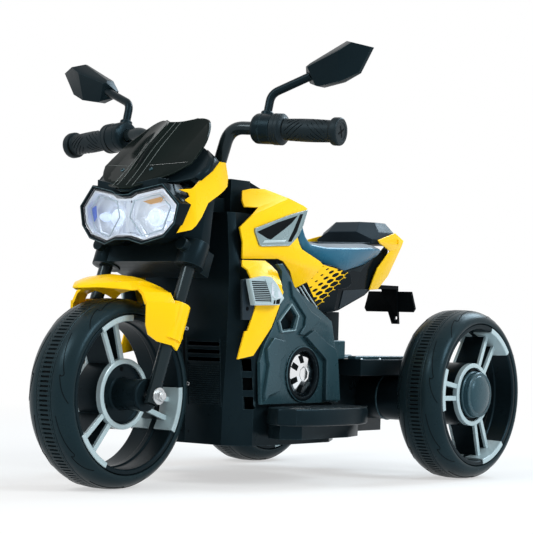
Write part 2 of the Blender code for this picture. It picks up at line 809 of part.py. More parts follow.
screen = lay(facet_panel("windscreen", screen_outline, screen_planes(0.0), 0.0025), facing_front)
paint(screen, smoke)
cowl_half = [(0.0, 0.4090), (0.013, 0.4090), (0.024, 0.4140), (0.050, 0.4215), (0.072, 0.4225),
             (0.088, 0.428),
             (0.092, 0.444), (0.085, 0.458), (0.074, 0.470), (0.050, 0.4830), (0.024, 0.4835),
             (0.0, 0.4835)]
cowl_outline = both_sides(cowl_half)[:-1]
cowl_base = screen_base_y + 0.0046
cowl_at = -cowl_base + screen_slope * screen_base_z
cowl_planes = [(cowl_at, -0.38, -screen_slope), (cowl_at, 0.38, -screen_slope)]
cowl = lay(facet_panel("front_cowl", cowl_outline, cowl_planes, 0.003), facing_front)
paint(cowl, satin_black)

# Yellow wings beside the headlight
wing_outline = [(-0.1797, 0.4543), (-0.1617, 0.4543), (-0.1603, 0.4338), (-0.1643, 0.4205),
                (-0.1739, 0.4134),
                (-0.1877, 0.4053), (-0.2079, 0.3943), (-0.2213, 0.3744), (-0.2336, 0.3614),
                (-0.2387, 0.3557),
                (-0.2565, 0.3505), (-0.2490, 0.3672), (-0.2455, 0.3860), (-0.2478, 0.3962),
                (-0.2421, 0.4008),
                (-0.2444, 0.4060), (-0.2553, 0.4097), (-0.2404, 0.4117), (-0.2223, 0.4246),
                (-0.2001, 0.4389)]
wing_planes = [plane_through((0.0962, -0.20, 0.41), (0.0962, -0.25, 0.41), (0.0972, -0.25, 0.36)),
               plane_through((0.0962, -0.20, 0.41), (0.0962, -0.25, 0.41), (0.0880, -0.20, 0.455)),
               plane_through((0.0962, -0.2351, 0.41), (0.0836, -0.2551, 0.41), (0.0962, -0.2351, 0.36))]
wing = baked(facet_panel("wing", wing_outline, wing_planes, 0.0028))
lamp_space = plate("lamp_space", inset(lens_outline, -0.0064), 0.2305, 0.30)
wing = cut(wing, lay(lamp_space, facing_front))
pair(wing, yellow)

# Body shell halves
body_rows = [
    (body_base, [(0, -0.128), (0.066, -0.128), (0.100, -0.100), (body_side, -0.020),
                 (body_side, 0.075), (0.080, 0.125), (0, 0.125)]),
    (0.115, [(0, -0.130), (0.069, -0.130), (0.104, -0.104), (body_side, -0.020),
             (body_side, 0.080), (0.085, 0.125), (0, 0.125)]),
    (0.190, [(0, -0.136), (0.078, -0.136), (0.108, -0.110), (body_side, -0.030),
             (0.1060, 0.072), (0.080, 0.110), (0, 0.110)]),
    (0.224, [(0, -0.138), (0.080, -0.138), (0.103, -0.112), (0.1040, -0.030),
             (0.1000, 0.060), (0.075, 0.100), (0, 0.100)]),
    (0.270, [(0, -0.137), (0.080, -0.137), (0.092, -0.120), (0.0940, -0.030),
             (0.0860, 0.055), (0.064, 0.098), (0, 0.098)]),
    (0.312, [(0, -0.134), (0.077, -0.134), (0.085, -0.122), (0.0830, -0.030),
             (0.0700, 0.040), (0.052, 0.084), (0, 0.084)]),
    (0.331, [(0, -0.133), (0.075, -0.133), (0.083, -0.121), (0.0790, -0.030),
             (0.0560, 0.010), (0.040, 0.030), (0, 0.030)]),
    (0.388, [(0, -0.129), (0.067, -0.129), (0.073, -0.119), (0.0620, -0.040),
             (0.0500, -0.012), (0.036, 0.000), (0, 0.000)]),
]
body = loft("body_shell", [[(max(x, gap / 2), y, z) for x, y in row] for z, row in body_rows], capped=False)
floor_face = bmesh.new()
floor_face.from_mesh(body.data)
floor_face.verts.ensure_lookup_table()
floor_face.faces.new([vert for vert in floor_face.verts if abs(vert.co.z - body_base) < 1e-6])
bmesh.ops.recalc_face_normals(floor_face, faces=floor_face.faces)
if sum(face.normal.x * face.calc_area() for face in floor_face.faces) < 0:
    bmesh.ops.reverse_faces(floor_face, faces=floor_face.faces)
floor_face.to_mesh(body.data)
floor_face.free()
shell = body.modifiers.new("wall", "SOLIDIFY")
shell.thickness = wall
shell.offset = -1.0
body = baked(body)
cuts = []
for row in range(3):
    z = 0.200 - row * 0.011
    cuts.append(box("slot", (0.006, -0.15, z - 0.0028), (0.066, -0.1315, z + 0.0028)))
for row in range(3):
    z = 0.172 - row * 0.027
    cuts.append(box("vent", (0.092, -0.125, z - 0.009), (0.104, -0.100, z + 0.009)))
body = cut(body, *cuts)
pair(body, satin_black)

# Neck: head tube, its bracket and the console on top
console_top = 0.437
head = raked(rod("head_bracket", (0, 0, tube_low), (0, 0, tube_high), tube_radius, 24))
web = box("web", (-0.024, -0.172, 0.352), (0.024, -0.1322, console_top - console_height + 0.02))
console = box("console", (-console_half_width, -0.106, console_top - console_height),
              (console_half_width, -0.062, console_top))
lip = box("lip", (-0.042, -0.156, console_top - console_height), (0.042, -0.100, console_top - 0.028))
key_space = box("key_space", (-0.046, -0.098, console_top - 0.024), (-0.020, -0.084, console_top + 0.01))
stem_space = raked(rod("stem_space", (0, 0, -0.05), (0, 0, 0.2), stem_radius + run_gap + gap, 24))
head = cut(union(head, web, lip, console), stem_space, key_space)
paint(head, gloss_black)

switch_pivot = Vector((-0.033, -0.091, console_top - 0.004))
rocker = box("power_switch", (-0.0457, -0.0960, console_top - 0.012),
             (-0.0203, -0.0860, console_top + 0.002))
paint(bevel(rocker, 0.001), red)

# Tank cover, in two yellow halves with a black top between them
tank_outline = [(-0.0955, 0.4208), (-0.0763, 0.4248), (-0.0467, 0.4265), (-0.0102, 0.4171),
                (0.0339, 0.4069),
                (0.0418, 0.4035), (0.0248, 0.3764), (0.0107, 0.3602), (0.0152, 0.3491), (0.0203, 0.3420),
                (0.0667, 0.3260),
                (0.0732, 0.3210), (0.0359, 0.2940), (0.0104, 0.2841), (0.0039, 0.2911), (-0.0077, 0.3080),
                (-0.0272, 0.3219), (-0.0413, 0.3249), (-0.0699, 0.3239), (-0.1200, 0.3215),
                (-0.1298, 0.3659),
                (-0.0785, 0.3977), (-0.1060, 0.3971), (-0.1050, 0.4068)]
tank_planes = [plane_through((0.096, -0.100, 0.372), (0.101, 0.010, 0.388), (0.064, -0.100, 0.424)),
               plane_through((0.096, -0.100, 0.366), (0.101, 0.010, 0.388), (0.097, -0.030, 0.345)),
               plane_through((0.094, -0.100, 0.343), (0.098, 0.000, 0.348), (0.092, -0.030, 0.320)),
               plane_through((0.0935, -0.060, 0.330), (0.090, 0.020, 0.340), (0.096, 0.010, 0.290))]
tank = baked(facet_panel("tank_cover", tank_outline, tank_planes))
bosses = [rod("boss", (low, y, z), (high, y, z), 0.005, 10)
          for low, high, y, z in ((0.0822, 0.0920, -0.090, 0.338), (0.0785, 0.0905, 0.006, 0.318))]
pair(union(tank, *bosses), yellow)
tank_top_rows = [
    (-0.0615, [(0, 0.430), (0.046, 0.428), (0.0600, 0.4200), (0.056, 0.3887), (0, 0.3887)]),
    (-0.0200, [(0, 0.430), (0.050, 0.428), (0.0715, 0.4135), (0.062, 0.3887), (0, 0.3887)]),
    (0.0120, [(0, 0.424), (0.050, 0.421), (0.0775, 0.4065), (0.072, 0.3887), (0, 0.3887)]),
    (0.0320, [(0, 0.406), (0.045, 0.405), (0.0770, 0.3980), (0.076, 0.3860), (0, 0.3860)]),
]
tank_top = loft("tank_top", stations(tank_top_rows))
paint(tank_top, satin_black)

# Side fins with their louvred lamps
fin_outline = [(-0.1315, 0.3194), (-0.0778, 0.3208), (-0.0668, 0.3142), (-0.0586, 0.3060),
               (-0.0605, 0.2826),
               (-0.0568, 0.2767), (-0.0644, 0.2578), (-0.0814, 0.2260), (-0.1199, 0.1853),
               (-0.1528, 0.1802),
               (-0.1386, 0.2191), (-0.1329, 0.2201), (-0.1234, 0.2410), (-0.1168, 0.2549),
               (-0.1272, 0.2947),
               (-0.1276, 0.3060), (-0.1361, 0.3111)]
fin_planes = [plane_through((0.114, -0.10, 0.31), (0.116, -0.06, 0.28), (0.113, -0.13, 0.20)),
              plane_through((0.099, -0.13, 0.318), (0.099, -0.08, 0.318), (0.114, -0.10, 0.290))]
fin = baked(facet_panel("side_fin", fin_outline, fin_planes))
bosses = [rod("boss", (low, y, z), (0.1120, y, z), 0.004, 10)
          for low, y, z in ((0.0920, -0.090, 0.280), (0.1072, -0.110, 0.207))]
pair(union(fin, *bosses), yellow)
lamp_outline = [(-0.1456, 0.2917), (-0.1137, 0.2976), (-0.0995, 0.2965), (-0.0640, 0.2678),
                (-0.0776, 0.2578),
                (-0.1332, 0.2559)]
lamp_face = [plane_through((0.124, -0.13, 0.29), (0.128, -0.088, 0.29), (0.125, -0.12, 0.26)),
             plane_through((0.1285, -0.088, 0.29), (0.122, -0.058, 0.27), (0.1285, -0.094, 0.26))]
lamp = facet_block("side_lamp", lamp_outline, lamp_face, 0.1166)
peg = rod("peg", (0.1145, -0.105, 0.280), (0.1190, -0.105, 0.280), 0.006, 12)
pair(union(lamp, peg), silver)

# Side frames and the chrome discs they hold
frame_outline = [(-0.0660, 0.3165), (-0.0538, 0.3173), (-0.0346, 0.2972), (-0.0232, 0.2822),
                 (0.0062, 0.2671),
                 (0.0415, 0.2500), (0.0670, 0.2360), (0.0785, 0.1909), (0.0875, 0.1165), (-0.1000, 0.1165),
                 (-0.1050, 0.1760), (-0.0965, 0.2000), (-0.0775, 0.2255), (-0.0605, 0.2555),
                 (-0.0530, 0.2760),
                 (-0.0560, 0.2840), (-0.0555, 0.3065)]
frame_base = body_side + gap
disc_y, disc_z = -0.005, 0.159
frame_face = frame_base + frame_thick
frame_planes = [plane_through((frame_face, -0.05, 0.20), (frame_face, 0.05, 0.20),
                              (frame_face, 0.00, 0.12)),
                plane_through((frame_face, -0.05, 0.226), (frame_face, 0.05, 0.226),
                              (frame_face - 0.003, 0.00, 0.3165))]
side_frame = facet_panel("side_frame", frame_outline, frame_planes, frame_thick)
disc_hole = rod("disc_hole", (0.08, disc_y, disc_z), (0.14, disc_y, disc_z), disc_radius + 0.001, 24)
diamond_points = [(-0.0383, 0.2581), (-0.0209, 0.2430), (-0.0297, 0.2250), (-0.0578, 0.2220),
                  (-0.0640, 0.2350)]
diamond = plate("diamond", diamond_points, 0.08, 0.14)
ring = rod("ring", (frame_base + 0.003, disc_y, disc_z), (frame_base + 0.009, disc_y, disc_z),
           disc_ring_radius, 24)
side_frame = cut(union(side_frame, ring), disc_hole, diamond)
pair(side_frame, teal_black)
disc = turned("engine_disc", [(0, disc_height), (disc_radius * 0.35, disc_height),
                              (disc_radius * 0.72, disc_height * 0.55),
                              (disc_radius, 0.002), (disc_radius, 0.0), (0, 0.0)],
              (frame_base, disc_y, disc_z), (1, 0, 0), 8)
pair(disc, chrome)

# Footboards
board_inner = body_side + gap
board_points = [(board_inner, -0.080), (0.128, -0.097), (0.148, -0.104), (0.170, -0.090), (0.185, -0.050),
                (0.190, 0.000),
                (0.189, 0.040), (0.178, 0.074), (0.154, 0.096), (board_inner, 0.102)]
skirt_points = [(board_inner, -0.074), (0.140, -0.088), (0.158, -0.060), (0.160, 0.050), (0.146, 0.096),
                (board_inner, 0.110)]
board_low = footboard_top - footboard_thick
board = lay(plate("footboard", board_points, board_low, footboard_top), facing_up)
skirt = lay(plate("skirt", skirt_points, board_low - board_skirt, board_low + 0.004), facing_up)
board = union(bevel(board, 0.004, 2), skirt)
pair(board, satin_black)

# Accelerator pedal, hinged at its heel between two ears of the right footboard
pedal_x, pedal_heel_y, pedal_length, pedal_width = -0.150, -0.020, 0.062, 0.036
pedal_tilt = radians(13)
pedal_pin = 0.0025
ear_thick = 0.005
pedal_pivot = Vector((pedal_x, pedal_heel_y, footboard_top + 0.006))
pedal = box("pedal", (-pedal_width / 2, -pedal_length, -0.002), (pedal_width / 2, 0.002, 0.002))
barrel = rod("barrel", (-pedal_width / 2, 0, 0), (pedal_width / 2, 0, 0), 0.0045, 12)
pin_reach = pedal_width / 2 + gap + ear_thick
pin = rod("pin", (-pin_reach, 0, 0), (pin_reach, 0, 0), pedal_pin, 12)
pedal = union(pedal, barrel, pin)
pedal.data.transform(Matrix.Translation(pedal_pivot) @ Matrix.Rotation(-pedal_tilt, 4, "X"))
paint(pedal, satin_black)
ears = []
for side in (-1, 1):
    inner = pedal_x + side * (pedal_width / 2 + gap)
    outer = inner + side * ear_thick
    ears.append(box("ear", (min(inner, outer), pedal_heel_y - 0.006, footboard_top - 0.002),
                    (max(inner, outer), pedal_heel_y + 0.006, pedal_pivot.z + 0.005)))
pin_space = rod("pin_space", (pedal_x - 0.03, pedal_heel_y, pedal_pivot.z),
                (pedal_x + 0.03, pedal_heel_y, pedal_pivot.z),
                pedal_pin + gap, 16)
board = cut(union(bpy.data.objects["footboard_right"], *ears), pin_space)
paint(board, satin_black)

# Seat, pillion pad and the tail that carries them
seat_rows = [
    (0.0323, [(0, 0.398), (0.066, 0.392), (0.080, 0.382), (0.075, 0.354), (0, 0.354)]),
    (0.0440, [(0, 0.370), (0.064, 0.370), (0.080, 0.361), (0.073, 0.343), (0, 0.343)]),
    (0.0620, [(0, 0.355), (0.062, 0.357), (0.078, 0.350), (0.070, 0.334), (0, 0.334)]),
    (0.1000, [(0, 0.351), (0.062, 0.355), (0.081, 0.347), (0.068, 0.324), (0, 0.324)]),
    (0.1600, [(0, 0.352), (0.066, 0.358), (0.085, 0.349), (0.068, 0.314), (0, 0.314)]),
    (0.2150, [(0, 0.356), (0.064, 0.361), (0.083, 0.352), (0.066, 0.326), (0, 0.326)]),
    (0.2620, [(0, 0.358), (0.052, 0.360), (0.070, 0.352), (0.060, 0.342), (0, 0.342)]),
]
seat = bevel(loft("seat", stations(seat_rows)), 0.004, 2, 25)
paint(seat, seat_grey)
pillion_rows = [
    (0.118, [(0, 0.360), (0.030, 0.360), (0.038, 0.358), (0.036, 0.3555), (0, 0.3555)]),
    (0.172, [(0, 0.388), (0.034, 0.388), (0.054, 0.370), (0.054, 0.3596), (0, 0.3596)]),
    (0.262, [(0, 0.397), (0.034, 0.397), (0.056, 0.376), (0.056, 0.3620), (0, 0.3620)]),
    (0.322, [(0, 0.399), (0.030, 0.399), (0.050, 0.384), (0.050, 0.3770), (0, 0.3770)]),
]
pillion = bevel(loft("pillion_pad", stations(pillion_rows)), 0.003, 1, 20)
paint(pillion, satin_black)
tub_rows = [
    (0.1035, [(0.0620, 0.3226), (0.060, 0.252), (0.034, 0.243), (0, 0.243)]),
    (0.1600, [(0.0635, 0.3132), (0.060, 0.264), (0.036, 0.256), (0, 0.256)]),
    (0.2150, [(0.0620, 0.3252), (0.056, 0.290), (0.034, 0.279), (0, 0.279)]),
    (0.2620, [(0.0560, 0.3402), (0.050, 0.314), (0.032, 0.304), (0, 0.304)]),
    (0.3100, [(0.0500, 0.3690), (0.046, 0.340), (0.030, 0.332), (0, 0.332)]),
]
tub_sections = [[(x, y, z) for x, z in half + [(-x, z) for x, z in reversed(half[:-1])]]
                for y, half in tub_rows]
tub = loft("tail_tub", tub_sections, capped=False)
shell = tub.modifiers.new("wall", "SOLIDIFY")
shell.thickness = wall
shell.offset = 0.0
tub = baked(tub)
paint(tub, satin_black)

wing_points = [(0.2440, 0.3675), (0.3031, 0.3818), (0.3344, 0.3712), (0.3282, 0.3621), (0.2943, 0.3122),
               (0.2655, 0.2901),
               (0.2374, 0.2880), (0.2435, 0.3020), (0.2538, 0.3228), (0.2892, 0.3518), (0.2500, 0.3625)]
tail_planes = [plane_through((0.074, 0.250, 0.37), (0.064, 0.325, 0.37), (0.074, 0.250, 0.36)),
               plane_through((0.074, 0.250, 0.36), (0.064, 0.325, 0.36), (0.062, 0.260, 0.29))]
left_wing = baked(facet_panel("tail_cowl", wing_points, tail_planes))
right_wing = mirrored(left_wing, "right_wing")
bridge = box("bridge", (-0.068, 0.3105, 0.3645), (0.068, 0.3145, 0.3725))
tail_cowl = union(left_wing, right_wing, bridge)
paint(tail_cowl, yellow)

# Rear carrier, gearboxes, axle and battery
drum_z = axle_height - gearbox_drop
carrier_rear = rear_axle_y + carrier_tail
spine_half = gearbox_inner - gap
beam = box("rear_carrier", (-carrier_half_width, carrier_front, carrier_top - carrier_thick),
           (carrier_half_width, carrier_rear, carrier_top))
spine = box("spine", (-spine_half, 0.1254, body_base + 0.006),
            (spine_half, carrier_rear, carrier_top - 0.004))
post = box("post", (-0.030, carrier_front, carrier_top - 0.004), (0.030, 0.205, 0.2521))
drum_space = [rod("drum_space", (side * gearbox_inner, rear_axle_y, drum_z),
                  (side * 0.2, rear_axle_y, drum_z),
                  gearbox_radius + run_gap, 28) for side in (-1, 1)]
axle_space = rod("axle_space", (-0.2, rear_axle_y, axle_height), (0.2, rear_axle_y, axle_height),
                 axle_radius + run_gap, 16)
carrier = cut(union(beam, spine, post), *drum_space, axle_space)
paint(carrier, satin_black)
drum = rod("gearbox", (gearbox_inner + gap, rear_axle_y, drum_z),
           (gearbox_outer - 0.010, rear_axle_y, drum_z), gearbox_radius, 24)
nose = rod("nose", (gearbox_outer - 0.012, rear_axle_y, drum_z), (gearbox_outer, rear_axle_y, drum_z),
           gearbox_radius * 0.85, 24, gearbox_radius * 0.6)
axle_space = rod("axle_space", (-0.2, rear_axle_y, axle_height), (0.2, rear_axle_y, axle_height),
                 axle_radius + run_gap, 16)
for obj in pair(cut(union(drum, nose), axle_space), satin_black):
    smooth(obj)
battery_half_width, battery_length, battery_height = 0.052, 0.070, 0.100
battery_base = 0.0591
battery = box("battery", (-battery_half_width, 0.0, battery_base),
              (battery_half_width, battery_length, battery_base + battery_height))
paint(battery, satin_black)

# Tail light and plate holder
tail_light = box("tail_light", (-0.028, 0.2960, 0.3337), (0.028, 0.3160, 0.3540))
paint(tail_light, red)
holder = box("plate_holder", (-0.016, 0.256, 0.2932), (0.016, 0.392, 0.2992))
plate_points = [(-0.050, 0.262), (-0.046, 0.256), (0.046, 0.256), (0.050, 0.262), (0.042, 0.290),
                (-0.042, 0.290)]
face = plate("face", plate_points, -0.396, -0.391)
face = lay(face, facing_front)
drop = box("drop", (-0.012, 0.388, 0.236), (0.012, 0.394, 0.2992))
holder = union(holder, drop, face)
hole = rod("hole", (0, 0.37, 0.246), (0, 0.41, 0.246), 0.0035, 10)
holder = cut(holder, hole)
paint(holder, satin_black)

# Stand the tyres on the ground, with the axles equally far from the origin
settle = Matrix.Translation((0.0, -(front_axle_y + rear_axle_y) / 2, wheel_radius - axle_height))
for obj in model.objects:
    obj.data.transform(settle)

# Joint axes
hang(empty("front_wheel_axis", front_centre), ["front_tyre", "front_rim"])
for side, word in ((1, "left"), (-1, "right")):
    hang(empty("rear_wheel_axis_" + word, (side * half_track, rear_axle_y, axle_height)),
         ["rear_tyre_" + word, "rear_rim_" + word])
    hang(empty("mirror_axis_" + word, (side * stalk_end.x, stalk_end.y, stalk_end.z)),
         ["mirror_shell_" + word, "mirror_glass_" + word])
hang(empty("pedal_axis", pedal_pivot), ["pedal"])
hang(empty("power_switch_axis", switch_pivot), ["power_switch"])
steered = ["steering_stem", "lower_yoke", "fork_cover", "front_fender", "front_axle", "handlebar",
           "headlight_housing",
           "headlight_lens", "headlight_reflector", "windscreen", "front_cowl", "front_wheel_axis"]
side_pieces = ("fork_leg", "grip", "switch_housing", "mirror_stalk", "wing", "mirror_axis")
steered += [stem + word for stem in side_pieces
            for word in ("_left", "_right")]
hang(empty("steering_axis", steer_origin, (-rake, 0, 0)), steered)
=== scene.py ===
import json
from math import atan2, cos, hypot, pi, radians, sin

import bmesh
import bpy
from mathutils import Matrix, Vector

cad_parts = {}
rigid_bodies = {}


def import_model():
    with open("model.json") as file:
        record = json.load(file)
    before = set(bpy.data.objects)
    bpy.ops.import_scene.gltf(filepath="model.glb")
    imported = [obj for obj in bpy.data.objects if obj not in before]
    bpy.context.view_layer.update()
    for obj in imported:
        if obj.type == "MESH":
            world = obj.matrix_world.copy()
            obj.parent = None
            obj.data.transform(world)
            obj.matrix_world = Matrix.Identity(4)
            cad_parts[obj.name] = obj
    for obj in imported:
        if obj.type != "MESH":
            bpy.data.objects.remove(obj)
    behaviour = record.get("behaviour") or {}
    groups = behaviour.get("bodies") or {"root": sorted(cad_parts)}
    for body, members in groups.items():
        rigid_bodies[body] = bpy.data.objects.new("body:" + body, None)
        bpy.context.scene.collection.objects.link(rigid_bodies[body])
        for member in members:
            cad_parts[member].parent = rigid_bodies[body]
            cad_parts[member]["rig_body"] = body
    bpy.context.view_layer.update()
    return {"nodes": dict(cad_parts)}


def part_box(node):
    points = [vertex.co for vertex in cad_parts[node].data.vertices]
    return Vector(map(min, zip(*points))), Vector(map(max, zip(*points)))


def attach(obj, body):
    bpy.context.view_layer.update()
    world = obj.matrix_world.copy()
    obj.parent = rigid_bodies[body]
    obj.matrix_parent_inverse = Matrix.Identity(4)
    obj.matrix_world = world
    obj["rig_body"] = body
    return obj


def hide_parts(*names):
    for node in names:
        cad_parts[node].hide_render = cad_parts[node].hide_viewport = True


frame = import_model()
nodes = frame["nodes"]
sides = ((1, "left"), (-1, "right"))
print("frame loaded:", len(nodes), "solids")


# One shader node tree, with a small helper for each kind of node
class Graph:
    def __init__(self, tree):
        self.tree = tree

    def node(self, kind, **settings):
        made = self.tree.nodes.new(kind)
        for key, value in settings.items():
            setattr(made, key, value)
        return made

    def join(self, source, target):
        self.tree.links.new(source, target)

    # a number, a colour or another node's output goes into each input
    def feed(self, inputs, pairs):
        for key, value in pairs:
            if isinstance(value, (int, float)):
                inputs[key].default_value = value
            elif isinstance(value, tuple):
                inputs[key].default_value = (*value, 1.0)
            else:
                self.join(value, inputs[key])

    def math(self, operation, first, second, clamp=False):
        made = self.node("ShaderNodeMath", operation=operation, use_clamp=clamp)
        self.feed(made.inputs, ((0, first), (1, second)))
        return made.outputs[0]

    def noise(self, place, scale, detail, rough=0.55):
        made = self.node("ShaderNodeTexNoise")
        self.feed(made.inputs, (("Vector", place), ("Scale", scale), ("Detail", detail),
                                ("Roughness", rough)))
        return made.outputs["Fac"]

    def remap(self, value, low, high, toLow=0.0, toHigh=1.0):
        made = self.node("ShaderNodeMapRange")
        self.feed(made.inputs, (("Value", value), ("From Min", low), ("From Max", high), ("To Min", toLow),
                                ("To Max", toHigh)))
        return made.outputs["Result"]

    def blend(self, factor, first, second):
        made = self.node("ShaderNodeMix", data_type="RGBA")
        self.feed(made.inputs, ((0, factor), (6, first), (7, second)))
        return made.outputs[2]


def newGroup(name, takes, gives):
    tree = bpy.data.node_groups.new(name, "ShaderNodeTree")
    kinds = {"vector": "NodeSocketVector", "colour": "NodeSocketColor", "value": "NodeSocketFloat"}
    for label, kind in takes:
        tree.interface.new_socket(label, in_out="INPUT", socket_type=kinds[kind])
    for label, kind in gives:
        tree.interface.new_socket(label, in_out="OUTPUT", socket_type=kinds[kind])
    graph = Graph(tree)
    return graph, graph.node("NodeGroupInput").outputs, graph.node("NodeGroupOutput").inputs


# Moulded plastic or paint: slow colour drift, uneven gloss, fine grain
graph, takes, gives = newGroup("mouldedSkin", (
    ("Place", "vector"), ("Colour", "colour"), ("Tint", "colour"), ("Drift Scale", "value"),
    ("Grain Scale", "value"), ("Rough Low", "value"), ("Rough High", "value")),
    (("Colour", "colour"), ("Roughness", "value"), ("Height", "value")))
drift = graph.noise(takes["Place"], takes["Drift Scale"], 2.0)
smear = graph.noise(takes["Place"], graph.math("MULTIPLY", takes["Drift Scale"], 2.7), 5.0, 0.65)
grain = graph.noise(takes["Place"], takes["Grain Scale"], 2.0, 0.6)
graph.join(graph.blend(graph.remap(drift, 0.3, 0.7), takes["Colour"], takes["Tint"]), gives["Colour"])
graph.join(graph.remap(smear, 0.3, 0.7, takes["Rough Low"], takes["Rough High"]), gives["Roughness"])
graph.join(grain, gives["Height"])

# Edges made lighter, broken up by noise: partly rubbed wear, partly a painted highlight along the edges
graph, takes, gives = newGroup("edgeWearAndHighlight", (
    ("Place", "vector"), ("Colour", "colour"), ("Worn Colour", "colour"), ("Radius", "value"),
    ("Amount", "value")), (("Colour", "colour"), ("Mask", "value")))
corner = graph.node("ShaderNodeBevel", samples=4)
graph.join(takes["Radius"], corner.inputs["Radius"])
surface = graph.node("ShaderNodeNewGeometry")
facing = graph.node("ShaderNodeVectorMath", operation="DOT_PRODUCT")
graph.join(corner.outputs["Normal"], facing.inputs[0])
graph.join(surface.outputs["Normal"], facing.inputs[1])
edge = graph.remap(facing.outputs["Value"], 0.985, 0.86)
patchy = graph.remap(graph.noise(takes["Place"], 130.0, 4.0, 0.7), 0.38, 0.62, 0.25, 1.0)
mask = graph.math("MULTIPLY", graph.math("MULTIPLY", edge, patchy), takes["Amount"], clamp=True)
graph.join(graph.blend(mask, takes["Colour"], takes["Worn Colour"]), gives["Colour"])
graph.join(mask, gives["Mask"])

# Fine dust that settles on faces that look up
graph, takes, gives = newGroup("settledDust", (
    ("Place", "vector"), ("Colour", "colour"), ("Dust Colour", "colour"), ("Roughness", "value"),
    ("Amount", "value")), (("Colour", "colour"), ("Roughness", "value")))
surface = graph.node("ShaderNodeNewGeometry")
split = graph.node("ShaderNodeSeparateXYZ")
graph.join(surface.outputs["Normal"], split.inputs[0])
upward = graph.remap(split.outputs["Z"], -0.1, 1.0, 0.25, 1.0)
cloud = graph.remap(graph.noise(takes["Place"], 38.0, 6.0, 0.7), 0.35, 0.75)
amount = graph.math("MULTIPLY", graph.math("MULTIPLY", upward, cloud), takes["Amount"], clamp=True)
graph.join(graph.blend(amount, takes["Colour"], takes["Dust Colour"]), gives["Colour"])
graph.join(graph.math("ADD", takes["Roughness"], graph.math("MULTIPLY", amount, 0.45), clamp=True),
           gives["Roughness"])
